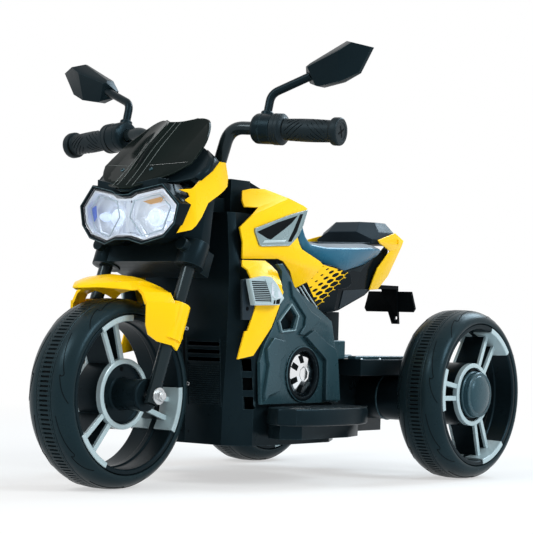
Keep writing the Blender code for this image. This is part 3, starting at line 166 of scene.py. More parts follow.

# What each finish looks like: colours are linear, lengths in metres. Each row has these values, then any more
# worn and wear are the edges' lighter colour and its amount, partly wear and partly painted highlight
finishKeys = ("colour", "tint", "rough", "grain", "depth", "wearAndHighlight", "wearAndHighlightAmount", "dust")
finishes = {
    "satinBlack": ((0.0034, 0.0068, 0.0086), (0.006, 0.0118, 0.0148), (0.26, 0.36), 900, 0.00005,
                   (0.06, 0.105, 0.125), 0.7, 0.006, dict(specular=0.1, gleam=(0.4, 0.76, 1.0))),
    "glossBlack": ((0.003, 0.0056, 0.0075), (0.005, 0.009, 0.0118), (0.1, 0.18), 260, 0.00001,
                   (0.08, 0.11, 0.12), 0.7, 0.003, dict(specular=0.05, gleam=(0.5, 0.8, 1.0))),
    "frameTeal": ((0.015, 0.04, 0.05), (0.023, 0.06, 0.074), (0.22, 0.32), 800, 0.00004,
                  (0.16, 0.27, 0.31), 0.9, 0.02, dict(specular=0.4, gleam=(0.55, 0.82, 1.0))),
    "tyreBlack": ((0.0065, 0.0135, 0.0165), (0.01, 0.021, 0.0255), (0.24, 0.34), 650, 0.00008,
                  (0.05, 0.066, 0.07), 0.45, 0.012, dict(specular=0.14, gleam=(0.45, 0.8, 1.0))),
    "yellow": ((1.0, 0.63, 0.003), (1.0, 0.555, 0.0018), (0.24, 0.34), 170, 0.00002,
               (1.0, 0.7, 0.08), 0.3, 0.01, dict(specular=0.22, gleam=(1.0, 0.95, 0.75))),
    "silver": ((0.37, 0.48, 0.51), (0.45, 0.565, 0.595), (0.24, 0.36), 2600, 0.00002,
               (0.78, 0.86, 0.89), 0.5, 0.02, dict(metallic=0.08, coat=0.2, specular=0.5)),
    # seat flanks: the dark grey seat is painted saturated blue, a painted sheen of blue light
    "seatPaintedBlueSheen": ((0.015, 0.1, 0.175), (0.03, 0.16, 0.26), (0.24, 0.34), 1100, 0.00005,
                    (0.16, 0.2, 0.23), 0.3, 0.02, dict(specular=0.3, gleam=(0.75, 0.9, 1.0))),
    # seat top: its lighter grey is a painted highlight
    "seatTopPaintedHighlight": ((0.16, 0.18, 0.205), (0.205, 0.23, 0.255), (0.5, 0.6), 1400, 0.00006,
                (0.5, 0.56, 0.6), 0.4, 0.02, dict(specular=0.12)),
    "padPlastic": ((0.012, 0.0185, 0.0245), (0.018, 0.0275, 0.036), (0.4, 0.5), 1300, 0.00008,
                   (0.12, 0.15, 0.165), 0.5, 0.02, dict(specular=0.15, gleam=(0.5, 0.8, 1.0))),
    "gripRubber": ((0.0045, 0.008, 0.0098), (0.0075, 0.0125, 0.015), (0.4, 0.52), 1500, 0.00008,
                   (0.05, 0.07, 0.08), 0.35, 0.01, dict(specular=0.16, gleam=(0.6, 0.84, 1.0))),
    "zincSteel": ((0.6, 0.62, 0.63), (0.5, 0.53, 0.55), (0.2, 0.38), 500, 0.00003,
                  (0.85, 0.86, 0.87), 0.4, 0.04, dict(metallic=1.0)),
    "chromePlastic": ((0.8, 0.82, 0.84), (0.74, 0.77, 0.8), (0.05, 0.13), 90, 0.00001,
                      (0.95, 0.96, 0.97), 0.2, 0.02, dict(metallic=1.0)),
    "tailRed": ((0.42, 0.008, 0.01), (0.32, 0.005, 0.008), (0.1, 0.2), 150, 0.00001,
                (0.65, 0.1, 0.1), 0.2, 0.03, dict(coat=0.4)),
    "amber": ((0.62, 0.3, 0.08), (0.7, 0.38, 0.14), (0.15, 0.25), 300, 0.00002,
              (0.85, 0.6, 0.35), 0.2, 0.0, dict(metallic=0.3, glow=0.25)),
    "forkTube": ((0.006, 0.01, 0.0115), (0.009, 0.015, 0.0175), (0.12, 0.2), 420, 0.00001,
                 (0.1, 0.13, 0.14), 0.3, 0.01, dict(specular=0.26, gleam=(0.7, 0.9, 1.0))),
    "frameEdge": ((0.13, 0.22, 0.25), (0.18, 0.29, 0.33), (0.25, 0.36), 800, 0.00003,
                  (0.45, 0.55, 0.6), 0.4, 0.02, dict(specular=0.5)),
    # screen creases: lighter lines that are painted highlights
    "screenCreaseHighlight": ((0.012, 0.018, 0.017), (0.11, 0.145, 0.138), (0.12, 0.22), 300, 0.00001,
                   (0.5, 0.55, 0.55), 0.3, 0.01, dict(specular=0.6)),
    "screenBlack": ((0.0032, 0.006, 0.0056), (0.0055, 0.0095, 0.0088), (0.07, 0.13), 160, 0.00001,
                    (0.09, 0.12, 0.11), 0.45, 0.004, dict(specular=0.025, gleam=(0.75, 1.0, 0.95))),
    "badgeSilver": ((0.18, 0.265, 0.285), (0.27, 0.365, 0.385), (0.16, 0.28), 2600, 0.00001,
                    (0.78, 0.84, 0.86), 0.5, 0.02, dict(metallic=0.45, coat=0.2)),
    # reflector silver with a glow: painted reflection, as the tray is no lamp
    "lampSilverPaintedGlow": ((0.6, 0.64, 0.71), (0.88, 0.91, 0.96), (0.1, 0.2), 420, 0.0009,
                   (0.95, 0.96, 0.98), 0.4, 0.0, dict(metallic=0.45, glow=0.2)),
    "lampWhite": ((0.56, 0.6, 0.66), (0.68, 0.72, 0.78), (0.12, 0.22), 900, 0.00002,
                  (0.9, 0.93, 0.96), 0.4, 0.01, dict(coat=0.3)),
    "lampGlow": ((0.62, 0.74, 1.0), (0.9, 0.95, 1.0), (0.08, 0.15), 300, 0.00001,
                 (1.0, 1.0, 1.0), 0.2, 0.0, dict(glow=0.6)),
    "lampBlue": ((0.05, 0.14, 0.62), (0.08, 0.2, 0.72), (0.1, 0.18), 300, 0.00001,
                 (0.3, 0.4, 0.9), 0.2, 0.0, dict(glow=0.25)),
    "mirrorGlass": ((0.78, 0.8, 0.81), (0.74, 0.76, 0.77), (0.02, 0.06), 60, 0.000004,
                    (0.9, 0.9, 0.9), 0.1, 0.02, dict(metallic=1.0)),
    "deepBlack": ((0.0012, 0.0024, 0.0032), (0.0022, 0.004, 0.0052), (0.5, 0.7), 500, 0.00005,
                  (0.01, 0.01, 0.01), 0.1, 0.005, dict(specular=0.04)),
}
skin = dict(turn=(0.35, 0.2, 0.5), driftScale=9.0, edgeRadius=0.0012, dustColour=(0.28, 0.33, 0.35),
            coatRough=0.08)


def newMaterial(name):
    material = bpy.data.materials.new(name)
    material.use_nodes = True
    return material, Graph(material.node_tree), material.node_tree.nodes["Principled BSDF"]


def makeFinish(name, look):
    material, graph, shader = newMaterial(name)
    turn = graph.node("ShaderNodeMapping")
    graph.join(graph.node("ShaderNodeTexCoord").outputs["Object"], turn.inputs["Vector"])
    turn.inputs["Rotation"].default_value = skin["turn"]

    def useGroup(groupName, **values):
        made = graph.node("ShaderNodeGroup", node_tree=bpy.data.node_groups[groupName], label=groupName)
        graph.join(turn.outputs["Vector"], made.inputs["Place"])
        graph.feed(made.inputs, [(key.replace("_", " "), value) for key, value in values.items()])
        return made.outputs

    low, high = look["rough"]
    base = useGroup("mouldedSkin", Colour=look["colour"], Tint=look["tint"], Drift_Scale=skin["driftScale"],
                    Grain_Scale=look["grain"], Rough_Low=low, Rough_High=high)
    # lighter edges: partly wear, partly painted highlight
    wearAndHighlight = useGroup("edgeWearAndHighlight", Colour=base["Colour"], Worn_Colour=look["wearAndHighlight"], Radius=skin["edgeRadius"],
                    Amount=look["wearAndHighlightAmount"])
    dusty = useGroup("settledDust", Colour=wearAndHighlight["Colour"], Dust_Colour=skin["dustColour"],
                     Roughness=base["Roughness"], Amount=look["dust"])
    relief = graph.node("ShaderNodeBump")
    graph.feed(relief.inputs, (("Strength", 1.0), ("Distance", look["depth"]), ("Height", base["Height"])))
    graph.feed(shader.inputs, (
        ("Base Color", dusty["Colour"]), ("Roughness", dusty["Roughness"]),
        ("Normal", relief.outputs["Normal"]),
        ("Metallic", look.get("metallic", 0.0)), ("Specular IOR Level", look.get("specular", 0.5)),
        ("Specular Tint", look.get("gleam", (1.0, 1.0, 1.0))), ("Coat Weight", look.get("coat", 0.0)),
        ("Coat Roughness", skin["coatRough"])))
    if "glow" in look:
        graph.feed(shader.inputs, (("Emission Color", dusty["Colour"]), ("Emission Strength", look["glow"])))
    return material


paint = {name: makeFinish(name, dict(zip(finishKeys, row), **more))
         for name, (*row, more) in finishes.items()}


# Clear plastic: smudges in its gloss and a slow drift in its tone
def makeClear(name, colour, roughness, through, ior):
    material, graph, shader = newMaterial(name)
    place = graph.node("ShaderNodeTexCoord").outputs["Object"]
    smudge = graph.remap(graph.noise(place, 24.0, 5.0, 0.7), 0.35, 0.75, *roughness)
    shade = graph.blend(graph.remap(graph.noise(place, 11.0, 2.0), 0.3, 0.7), colour,
                        tuple(channel * 0.85 for channel in colour))
    graph.feed(shader.inputs, (("Roughness", smudge), ("Base Color", shade), ("Transmission Weight", through),
                               ("IOR", ior), ("Metallic", 0.0)))
    return material


paint["clearLens"] = makeClear("clearLens", (0.9, 0.95, 1.0), (0.01, 0.05), 1.0, 1.35)
print("finishes made:", len(paint))


def cadCopy(name):
    bm = bmesh.new()
    bm.from_mesh(nodes[name].data)
    weld(bm, 0.00001)
    bmesh.ops.dissolve_limit(bm, angle_limit=radians(0.6), verts=bm.verts, edges=bm.edges)
    return bm


def weld(bm, distance=0.000004):
    bmesh.ops.remove_doubles(bm, verts=bm.verts, dist=distance)
    return bm


def faceOut(bm):
    bmesh.ops.recalc_face_normals(bm, faces=bm.faces)
    return bm


# Give a finished bmesh its object, material and shading (slot is not used); soft is a bevel's width, segments
# and angle
def addPiece(bm, name, body, material, slot=None, sharp=32, soft=None, replaces=(), recalc=False):
    weld(bm)
    if recalc:
        faceOut(bm)
    mesh = bpy.data.meshes.new(name)
    bm.to_mesh(mesh)
    bm.free()
    mesh.materials.append(paint[material])
    piece = bpy.data.objects.new(name, mesh)
    bpy.context.scene.collection.objects.link(piece)
    mesh.shade_smooth()
    if soft:
        soften = piece.modifiers.new("softEdge", "BEVEL")
        soften.width, soften.segments, degrees = soft
        soften.limit_method, soften.angle_limit = "ANGLE", radians(degrees)
        soften.use_clamp_overlap = soften.harden_normals = True
        soften.miter_outer = "MITER_ARC"
    else:
        mesh.set_sharp_from_angle(angle=radians(sharp))
    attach(piece, body)
    if replaces:
        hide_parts(*replaces)
    return piece


# A chassis piece for the left side, and its mirror image; faces with more corners than split are cut up
def addPair(bm, stem, material, slot=None, split=None, **options):
    faceOut(bm)
    if split:
        bmesh.ops.triangulate(bm, faces=[face for face in bm.faces if len(face.verts) > split])
    other = mirrorX(bm)
    addPiece(bm, stem + "_left", "chassis", material, slot, **options)
    addPiece(other, stem + "_right", "chassis", material, slot, **options)


# A CAD panel with moulded, rounded edges stands for the sharp one
def mouldEdges(names, material, width, slot, degrees=24):
    for name in names:
        addPiece(cadCopy(name), name + "_moulded", nodes[name]["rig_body"], material, slot,
                 soft=(width, 3, degrees), replaces=(name,))


def thicken(piece, thickness):
    wall = piece.modifiers.new("wall", "SOLIDIFY")
    wall.thickness, wall.offset = thickness, 0.0


def bothNames(*stems):
    return [stem + "_" + word for stem in stems for side, word in sides]


def lathe(profile, steps, closed=True, bm=None):
    # profile points are (radius, along); the result turns about +Z
    own = bm is None
    bm = bm or bmesh.new()
    ring = [bm.verts.new((radius, 0.0, along)) for radius, along in profile]
    edges = [bm.edges.new(pair) for pair in zip(ring, ring[1:] + (ring[:1] if closed else []))]
    bmesh.ops.spin(bm, geom=ring + edges, cent=(0, 0, 0), axis=(0, 0, 1), dvec=(0, 0, 0), angle=2 * pi,
                   steps=steps, use_merge=True, use_duplicate=False)
    weld(bm)
    if own:
        faceOut(bm)
    return bm


def aim(direction, place):
    turn = Vector(direction).to_track_quat("Z", "Y").to_matrix().to_4x4()
    return Matrix.Translation(Vector(place)) @ turn


def move(bm, matrix):
    bmesh.ops.transform(bm, matrix=matrix, verts=bm.verts)
    if matrix.determinant() < 0:
        bmesh.ops.reverse_faces(bm, faces=bm.faces)
    return bm


def mirrorX(bm):
    return move(bm.copy(), Matrix.Scale(-1, 4, (1, 0, 0)))


def addRod(bm, start, end, radius):
    made = bmesh.ops.create_cone(bm, cap_ends=True, segments=16, radius1=radius, radius2=radius,
                                 depth=(end - start).length)
    bmesh.ops.transform(bm, matrix=aim(end - start, (start + end) / 2), verts=made["verts"])


def addBlock(bm, low, high, matrix=None):
    low, high = Vector(low), Vector(high)
    made = bmesh.ops.create_cube(bm, size=1.0)
    bmesh.ops.scale(bm, vec=high - low, verts=made["verts"])
    bmesh.ops.translate(bm, vec=(low + high) / 2, verts=made["verts"])
    if matrix:
        bmesh.ops.transform(bm, matrix=matrix, verts=made["verts"])
    return made["verts"]


def setLevel(verts, level):
    for vert in verts:
        vert.co.x = level if isinstance(level, (int, float)) else level(vert.co.y, vert.co.z)


# A slab with a YZ outline; base and height are numbers or functions of (y, z), and give x
def addSlab(bm, outline, base, height):
    corners = [bm.verts.new((0.0, y, z)) for y, z in outline]
    made = bmesh.ops.extrude_face_region(bm, geom=[bm.faces.new(corners)])["geom"]
    top = [item for item in made if isinstance(item, bmesh.types.BMVert)]
    setLevel(corners, base)
    setLevel(top, height)


def planeThrough(first, second, third):
    (x1, y1, z1), (x2, y2, z2), (x3, y3, z3) = first, second, third
    normal = Vector((x2 - x1, y2 - y1, z2 - z1)).cross(Vector((x3 - x1, y3 - y1, z3 - z1)))
    return (x1 + (normal.y * y1 + normal.z * z1) / normal.x, -normal.y / normal.x, -normal.z / normal.x)


def lowestOf(planes):
    return lambda y, z: min(a + b * y + c * z for a, b, c in planes)


def drawIn(outline, amount):
    area = sum(a[0] * b[1] - b[0] * a[1] for a, b in zip(outline, outline[1:] + outline[:1]))
    turn = 1 if area > 0 else -1
    points = []
    for i, here in enumerate(outline):
        here, before, after = Vector(here), Vector(outline[i - 1]), Vector(outline[(i + 1) % len(outline)])
        one, two = (here - before).normalized(), (after - here).normalized()
        n1, n2 = Vector((-one.y, one.x)) * turn, Vector((-two.y, two.x)) * turn
        points.append(tuple(here + (n1 + n2) / max(1 + n1.dot(n2), 0.35) * amount))
    return points


def appendMesh(bm, other):
    mesh = bpy.data.meshes.new("part")
    other.to_mesh(mesh)
    other.free()
    bm.from_mesh(mesh)
    bpy.data.meshes.remove(mesh)
    return bm


# a lathe's (radius, along) point goes to +Y (radius) and +X (along)
fromLathe = Matrix(((0, 0, 1, 0), (1, 0, 0, 0), (0, 1, 0, 0), (0, 0, 0, 1)))


# A path with rounded corners
def bentPath(corners, radius, steps):
    corners = [Vector(corner) for corner in corners]
    path = [corners[0]]
    for before, corner, after in zip(corners, corners[1:], corners[2:]):
        toBack, toNext = (before - corner).normalized(), (after - corner).normalized()
        half = toBack.angle(toNext) / 2
        reach = min(radius * cos(half) / max(sin(half), 0.001), 0.45 * (before - corner).length,
                    0.45 * (after - corner).length)
        start, end = corner + toBack * reach, corner + toNext * reach
        for k in range(steps + 1):
            path.append(start.lerp(corner, k / steps).lerp(corner.lerp(end, k / steps), k / steps))
    return path + [corners[-1]]


def addTube(bm, path, radius, resolution):
    curve = bpy.data.curves.new("path", "CURVE")
    curve.dimensions = "3D"
    curve.bevel_depth, curve.bevel_resolution, curve.use_fill_caps = radius, resolution, True
    line = curve.splines.new("POLY")
    line.points.add(len(path) - 1)
    for point, place in zip(line.points, path):
        point.co = (*place, 1.0)
    holder = bpy.data.objects.new("path", curve)
    bpy.context.scene.collection.objects.link(holder)
    mesh = bpy.data.meshes.new_from_object(holder.evaluated_get(bpy.context.evaluated_depsgraph_get()))
    bpy.data.objects.remove(holder, do_unlink=True)
    bpy.data.curves.remove(curve)
    made = bmesh.new()
    made.from_mesh(mesh)
    bpy.data.meshes.remove(mesh)
    return appendMesh(bm, faceOut(weld(made)))


def edgeRing(bm, points):
    verts = [bm.verts.new(point) for point in points]
    return verts, [bm.edges.new(pair) for pair in zip(verts, verts[1:] + verts[:1])]


# A raised frame that follows an outline, inside it
def addFrame(bm, outline, width, base, height):
    edges = [edge for line in (outline, drawIn(outline, width))
             for edge in edgeRing(bm, [(0, y, z) for y, z in line])[1]]
    faces = bmesh.ops.bridge_loops(bm, edges=edges)["faces"]
    bmesh.ops.recalc_face_normals(bm, faces=faces)
    low = list({vert for face in faces for vert in face.verts})
    made = bmesh.ops.extrude_face_region(bm, geom=faces)["geom"]
    setLevel(low, base)
    setLevel([item for item in made if isinstance(item, bmesh.types.BMVert)], height)


def lift(level, amount):
    return lambda y, z: level(y, z) + amount


# A domed screw head with a cross recess, pointing along a direction; the recess is dark blocks on the head,
# painted shade
def addScrew(heads, recesses, place, direction, radius):
    matrix = aim(direction, place)
    made = lathe([(0, -0.002), (radius, -0.002), (radius, 0.0004), (radius * 0.82, 0.0011),
                  (radius * 0.4, 0.0015), (0, 0.0016)], 20, closed=False)
    appendMesh(heads, move(made, matrix))
    for turn in (0.4, 0.4 + pi / 2):
        addBlock(recesses, (-radius * 0.62, -radius * 0.12, 0.0006), (radius * 0.62, radius * 0.12, 0.00175),
                 matrix @ Matrix.Rotation(turn, 4, "Z"))


def roundOutline(outline, radius, steps=4):
    points = []
    for i, here in enumerate(outline):
        here, before, after = Vector(here), Vector(outline[i - 1]), Vector(outline[(i + 1) % len(outline)])
        first = here + (before - here).normalized() * min(radius, 0.45 * (before - here).length)
        last = here + (after - here).normalized() * min(radius, 0.45 * (after - here).length)
        points += [tuple(first.lerp(here, t / steps).lerp(here.lerp(last, t / steps), t / steps))
                   for t in range(steps + 1)]
    return points


# Rings of equal length joined into one closed form
def loftRings(bm, rings):
    loops = [edgeRing(bm, ring) for ring in rings]
    for (_, low), (_, high) in zip(loops, loops[1:]):
        bmesh.ops.bridge_loops(bm, edges=low + high)
    for verts, _ in (loops[0], loops[-1]):
        bm.faces.new(verts)
    return faceOut(bm)


def wholeMesh(bm):
    return bm.verts[:] + bm.edges[:] + bm.faces[:]


def cutAcross(bm, axis, places):
    normal = Vector([1.0 if k == axis else 0.0 for k in range(3)])
    for place in places:
        bmesh.ops.bisect_plane(bm, geom=wholeMesh(bm), plane_co=normal * place, plane_no=normal, dist=0.00001)


# Camera as fitted to the photograph
camera = dict(place=(1.6691, -2.11595, 0.2318), azimuth=37.5861, pitch=-1.77926, roll=1.5699,
              focal=1800.0753, size=(533, 534))
lens = bpy.data.cameras.new("camera")
eye = bpy.data.objects.new("camera", lens)
bpy.context.scene.collection.objects.link(eye)
azimuth, pitch, roll = (radians(camera[key]) for key in ("azimuth", "pitch", "roll"))
back = Vector((sin(azimuth) * cos(pitch), -cos(azimuth) * cos(pitch), sin(pitch)))
across = Vector((cos(azimuth), sin(azimuth), 0))
upward = back.cross(across)
turned = Matrix((across * cos(roll) + upward * sin(roll), upward * cos(roll) - across * sin(roll),
                 back)).transposed()
eye.matrix_world = Matrix.Translation(camera["place"]) @ turned.to_4x4()
lens.sensor_width = lens.sensor_height = 36.0
lens.sensor_fit = "AUTO"
lens.lens = 36.0 * camera["focal"] / max(camera["size"])
lens.clip_start, lens.clip_end = 0.05, 60.0
bpy.context.scene.camera = eye

# Wheels
wheel = dict(
    bandHalf=0.0078, bandReach=0.1285, ribs=128, ribDepth=0.0017, rimRadius=0.109, rimWall=0.0075,
    rimHalf=0.037, hubRadius=0.0475, hubHalf=0.025, ringWidth=0.0065, sleeve=0.0225, bore=0.0056,
    spokeWidth=0.0072, spokeHalf=0.0215, spokeTaper=0.86, hubSpread=0.0092, rimSpread=0.0135,
    spokeDeep=0.0195, padHalf=17.5, pitReach=0.034, pitRadius=0.0034, frontAngle=107, rearAngle=55)
alongX = Matrix.Rotation(pi / 2, 4, "Y")

# a sipe's arcs are knots of (degrees, share of the way from bead to band), with a small jog in the middle
sipes = dict(
    count=7, offset=8, radius=0.00055,
    arcs=(((0, 0.34), (7, 0.7), (17, 0.8)), ((17, 0.8), (15.5, 0.66), (18, 0.62)),
          ((18, 0.62), (27, 0.86), (44, 0.955))))


def tyreProfile():
    # half profile from the bead over the shoulder to the band's edge, then its mirror
    points = [
        (wheel["rimRadius"] + 0.0004, 0.0355), (0.1102, 0.0377), (0.1122, 0.0385), (0.1152, 0.0383),
        (0.1185, 0.0368), (0.1218, 0.034), (0.1246, 0.0303), (0.1268, 0.026), (0.12835, 0.0215),
        (0.12915, 0.018), (0.12935, 0.0137), (0.1287, 0.0133), (0.1287, 0.0126), (0.12955, 0.0122),
        (0.12975, 0.0107), (0.12985, 0.0095), (0.12995, wheel["bandHalf"])]
    return points + [(radius, -along) for radius, along in reversed(points)]


def addSipes(name, centre, body):
    flank = tyreProfile()[1:10]
    lengths = [0.0]
    for before, after in zip(flank, flank[1:]):
        lengths.append(lengths[-1] + hypot(after[0] - before[0], after[1] - before[1]))

    def onFlank(angle, share, side):
        reach = share * lengths[-1]
        k = max(index for index in range(len(flank) - 1) if lengths[index] <= reach + 1e-9)
        part = (reach - lengths[k]) / (lengths[k + 1] - lengths[k])
        radius, along = (flank[k][axis] + (flank[k + 1][axis] - flank[k][axis]) * part for axis in (0, 1))
        return Vector((side * along, radius * sin(radians(angle)), radius * cos(radians(angle)))) + centre

    lines = bmesh.new()
    for side in (-1, 1):
        for k in range(sipes["count"]):
            start = 360 * k / sipes["count"] + sipes["offset"]
            for first, middle, last in sipes["arcs"]:
                path = []
                for step in range(11):
                    t = step / 10
                    angle, share = (a * (1 - t) ** 2 + 2 * b * t * (1 - t) + c * t * t
                                    for a, b, c in zip(first, middle, last))
                    path.append(onFlank(start + angle, share, side))
                addTube(lines, path, sipes["radius"], 2)
    # the sipes are thin dark tubes on the flank: painted shade for the slits
    addPiece(lines, name + "_sipes", body, "deepBlack", "tyre", sharp=50)


# Tyre with a ribbed band, a dashed line on both its sides, and sipes on both shoulders
def makeTyre(name, centre, body):
    steps, band = wheel["ribs"] * 2, wheel["bandHalf"]
    bm = lathe(tyreProfile(), steps)
    column = 2 * pi / steps
    grooves, dashes = [], []
    for face in bm.faces:
        middle = face.calc_center_median()
        index = int((atan2(middle.y, middle.x) % (2 * pi)) / column)
        if hypot(middle.x, middle.y) < wheel["bandReach"] or index % 2:
            continue
        if abs(middle.z) < band:
            grooves.append(face)
        elif band + 0.0015 < abs(middle.z) < band + 0.0031:
            dashes.append(face)
    bmesh.ops.inset_individual(bm, faces=grooves, thickness=0.0005, depth=-wheel["ribDepth"],
                               use_even_offset=True)
    bmesh.ops.inset_individual(bm, faces=dashes, thickness=0.0001, depth=-0.0007, use_even_offset=True)
    # the groove floors and the dashes take the deeper black: painted shade in the recesses
    for face in grooves + dashes:
        face.material_index = 1
    move(bm, Matrix.Translation(centre) @ alongX)
    tread = addPiece(bm, name + "_tread", body, "tyreBlack", "tyre", sharp=38, replaces=(name,))
    tread.data.materials.append(paint["deepBlack"])
    addSipes(name, centre, body)


# Rim: a barrel, a hub drum with sleeves, three pairs of spokes, and silver trim on both faces
def makeRim(name, centre, body, firstAngle, sleeves):
    place = Matrix.Translation(centre) @ alongX
    inner, half, outer = wheel["rimRadius"] - wheel["rimWall"], wheel["rimHalf"], wheel["rimRadius"] - 0.0002
    bm = lathe([(outer, half - 0.001), (outer - 0.001, half), (inner + 0.002, half), (inner, half - 0.002),
                (inner, 0.006), (inner - 0.002, 0.004), (inner - 0.002, -0.004), (inner, -0.006),
                (inner, -half + 0.002), (inner + 0.002, -half), (outer - 0.001, -half),
                (outer, -half + 0.001)], 96)
    hub, ring, sleeve, bore = (wheel[key] for key in ("hubRadius", "ringWidth", "sleeve", "bore"))
    face, floor = wheel["hubHalf"] - 0.0012, wheel["hubHalf"] - 0.006
    right, left = sleeves
    drum = [
        (bore, left), (sleeve - 0.0015, left), (sleeve, left - 0.0015), (sleeve, left - 0.004),
        (sleeve - 0.0012, left - 0.005), (sleeve - 0.0012, floor + 0.002), (sleeve + 0.001, floor),
        (hub - ring - 0.003, floor), (hub - ring - 0.002, floor + 0.0012), (hub - ring, floor + 0.0012),
        (hub - ring, face), (hub, face), (hub + 0.0006, face - 0.003), (hub + 0.0012, 0.0),
        (hub + 0.0006, -face + 0.003), (hub, -face), (hub - ring, -face), (hub - ring, -floor - 0.0012),
        (hub - ring - 0.002, -floor - 0.0012), (hub - ring - 0.003, -floor), (sleeve + 0.001, -floor),
        (sleeve - 0.0012, -floor - 0.002), (sleeve - 0.0012, -right + 0.005), (sleeve, -right + 0.004),
        (sleeve, -right + 0.0015), (sleeve - 0.0015, -right), (bore, -right)]
    lathe(drum, 72, bm=bm)
    move(faceOut(bm), place)
    trim, width = bmesh.new(), wheel["spokeWidth"] / 2

    def turned(angle):
        return Matrix.Translation(centre) @ Matrix.Rotation(radians(angle), 4, "X")

    def settle(target, verts, twin, angle):
        # the pair opens a little towards the rim
        for vert in verts:
            share = (vert.co.z - hub) / (inner - hub)
            vert.co.y += twin * (wheel["hubSpread"] + (wheel["rimSpread"] - wheel["hubSpread"]) * share)
        bmesh.ops.transform(target, matrix=turned(angle - 90), verts=verts)

    middle = (hub + inner) / 2
    for angle, twin in [(firstAngle + 120 * k, twin) for k in range(3) for twin in (-1, 1)]:
        verts = addBlock(bm, (-wheel["spokeHalf"], -width + 0.0005, hub - 0.003),
                         (wheel["spokeHalf"], width - 0.0005, inner + 0.001))
        for vert in verts:
            vert.co.x *= wheel["spokeTaper"] if vert.co.z > middle else 1
        settle(bm, verts, twin, angle)
        for side in (-1, 1):
            strip = addBlock(trim, (-0.0016, -width, hub - 0.002), (0.0016, width, inner + 0.0002))
            for vert in strip:
                out = wheel["spokeDeep"] if vert.co.z > middle else wheel["hubHalf"] - 0.0024
                vert.co.x = side * (out + (0.0016 if vert.co.x > 0 else -0.003))
            settle(trim, strip, twin, angle)
    edge = wheel["hubHalf"]
    hubRing = [(hub - ring, 0.0178), (hub - ring, edge + 0.0006), (hub - ring + 0.0008, edge + 0.0014),
               (hub - 0.0008, edge + 0.0014), (hub + 0.0008, edge + 0.0004), (hub + 0.0008, 0.0178)]
    # a pad lies on the rim's lip and runs in along the barrel
    padProfile = [(0.108, 0.0346), (0.108, 0.0374), (0.1072, 0.0382), (0.101, 0.0382), (0.0998, 0.037),
                  (0.0988, 0.023), (0.0984, 0.007), (0.0992, 0.005), (0.103, 0.005)]
    for side in (-1, 1):
        appendMesh(trim, move(lathe([(radius, side * along) for radius, along in hubRing], 72), place))
        for k in range(3):
            pad = bmesh.new()
            cap = pad.faces.new([pad.verts.new((radius, 0.0, side * along)) for radius, along in padProfile])
            bmesh.ops.spin(pad, geom=[cap], cent=(0, 0, 0), axis=(0, 0, 1), dvec=(0, 0, 0),
                           angle=radians(2 * wheel["padHalf"]), steps=14, use_merge=False,
                           use_duplicate=False)
            begin = firstAngle + 120 * k - wheel["padHalf"]
            appendMesh(trim, move(faceOut(pad), turned(begin) @ fromLathe))
    # the hub's holes are dark rods: painted shade where the holes are
    pits = bmesh.new()
    for k in range(3):
        ends = [turned(120 * k) @ Vector((side * (floor + 0.0003), 0, wheel["pitReach"])) for side in (-1, 1)]
        addRod(pits, *ends, wheel["pitRadius"])
    addPiece(pits, name + "_holes", body, "deepBlack", sharp=40, recalc=True)
    addPiece(bm, name + "_body", body, "satinBlack", "rim", soft=(0.0007, 2, 34), replaces=(name,))
    addPiece(trim, name + "_silver", body, "silver", "silver_plastic", soft=(0.0006, 2, 34), recalc=True)


def middleOf(name):
    low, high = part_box(name)
    return (low + high) / 2


makeTyre("front_tyre", middleOf("front_tyre"), "front_wheel")
makeRim("front_rim", middleOf("front_tyre"), "front_wheel", wheel["frontAngle"], (0.0664, 0.0664))
rearCap = dict(bolt=0.0128, radius=0.0345, base=0.0238, face=0.0378, rise=0.0062)
for side, word in sides:
    body, centre = "rear_wheel_" + word, middleOf("rear_tyre_" + word)
    makeTyre("rear_tyre_" + word, centre, body)
    sleeves = (0.0515, 0.03) if side > 0 else (0.03, 0.0515)
    makeRim("rear_rim_" + word, centre, body, wheel["rearAngle"], sleeves)
    bolt, radius, base, face, rise = rearCap.values()
    cap = lathe([(0, face + rise - 0.0008), (bolt, face + rise - 0.0014), (bolt, base), (radius + 0.0015,
                                                                                         base),
                 (radius + 0.0015, base + 0.003), (radius, base + 0.0045), (radius, face - 0.0012),
                 (radius - 0.0012, face), (radius - 0.0052, face), (radius - 0.006, face + 0.001),
                 (radius - 0.0066, face + 0.0016), (radius * 0.6, face + rise * 0.72),
                 (radius * 0.3, face + rise * 0.94), (0, face + rise)], 72, closed=False)
    move(cap, Matrix.Translation(centre) @ (alongX if side > 0 else Matrix.Rotation(-pi / 2, 4, "Y")))
    addPiece(cap, "hub_cap_" + word, body, "frameTeal", "teal_black", sharp=28, recalc=True)
print("wheels made")

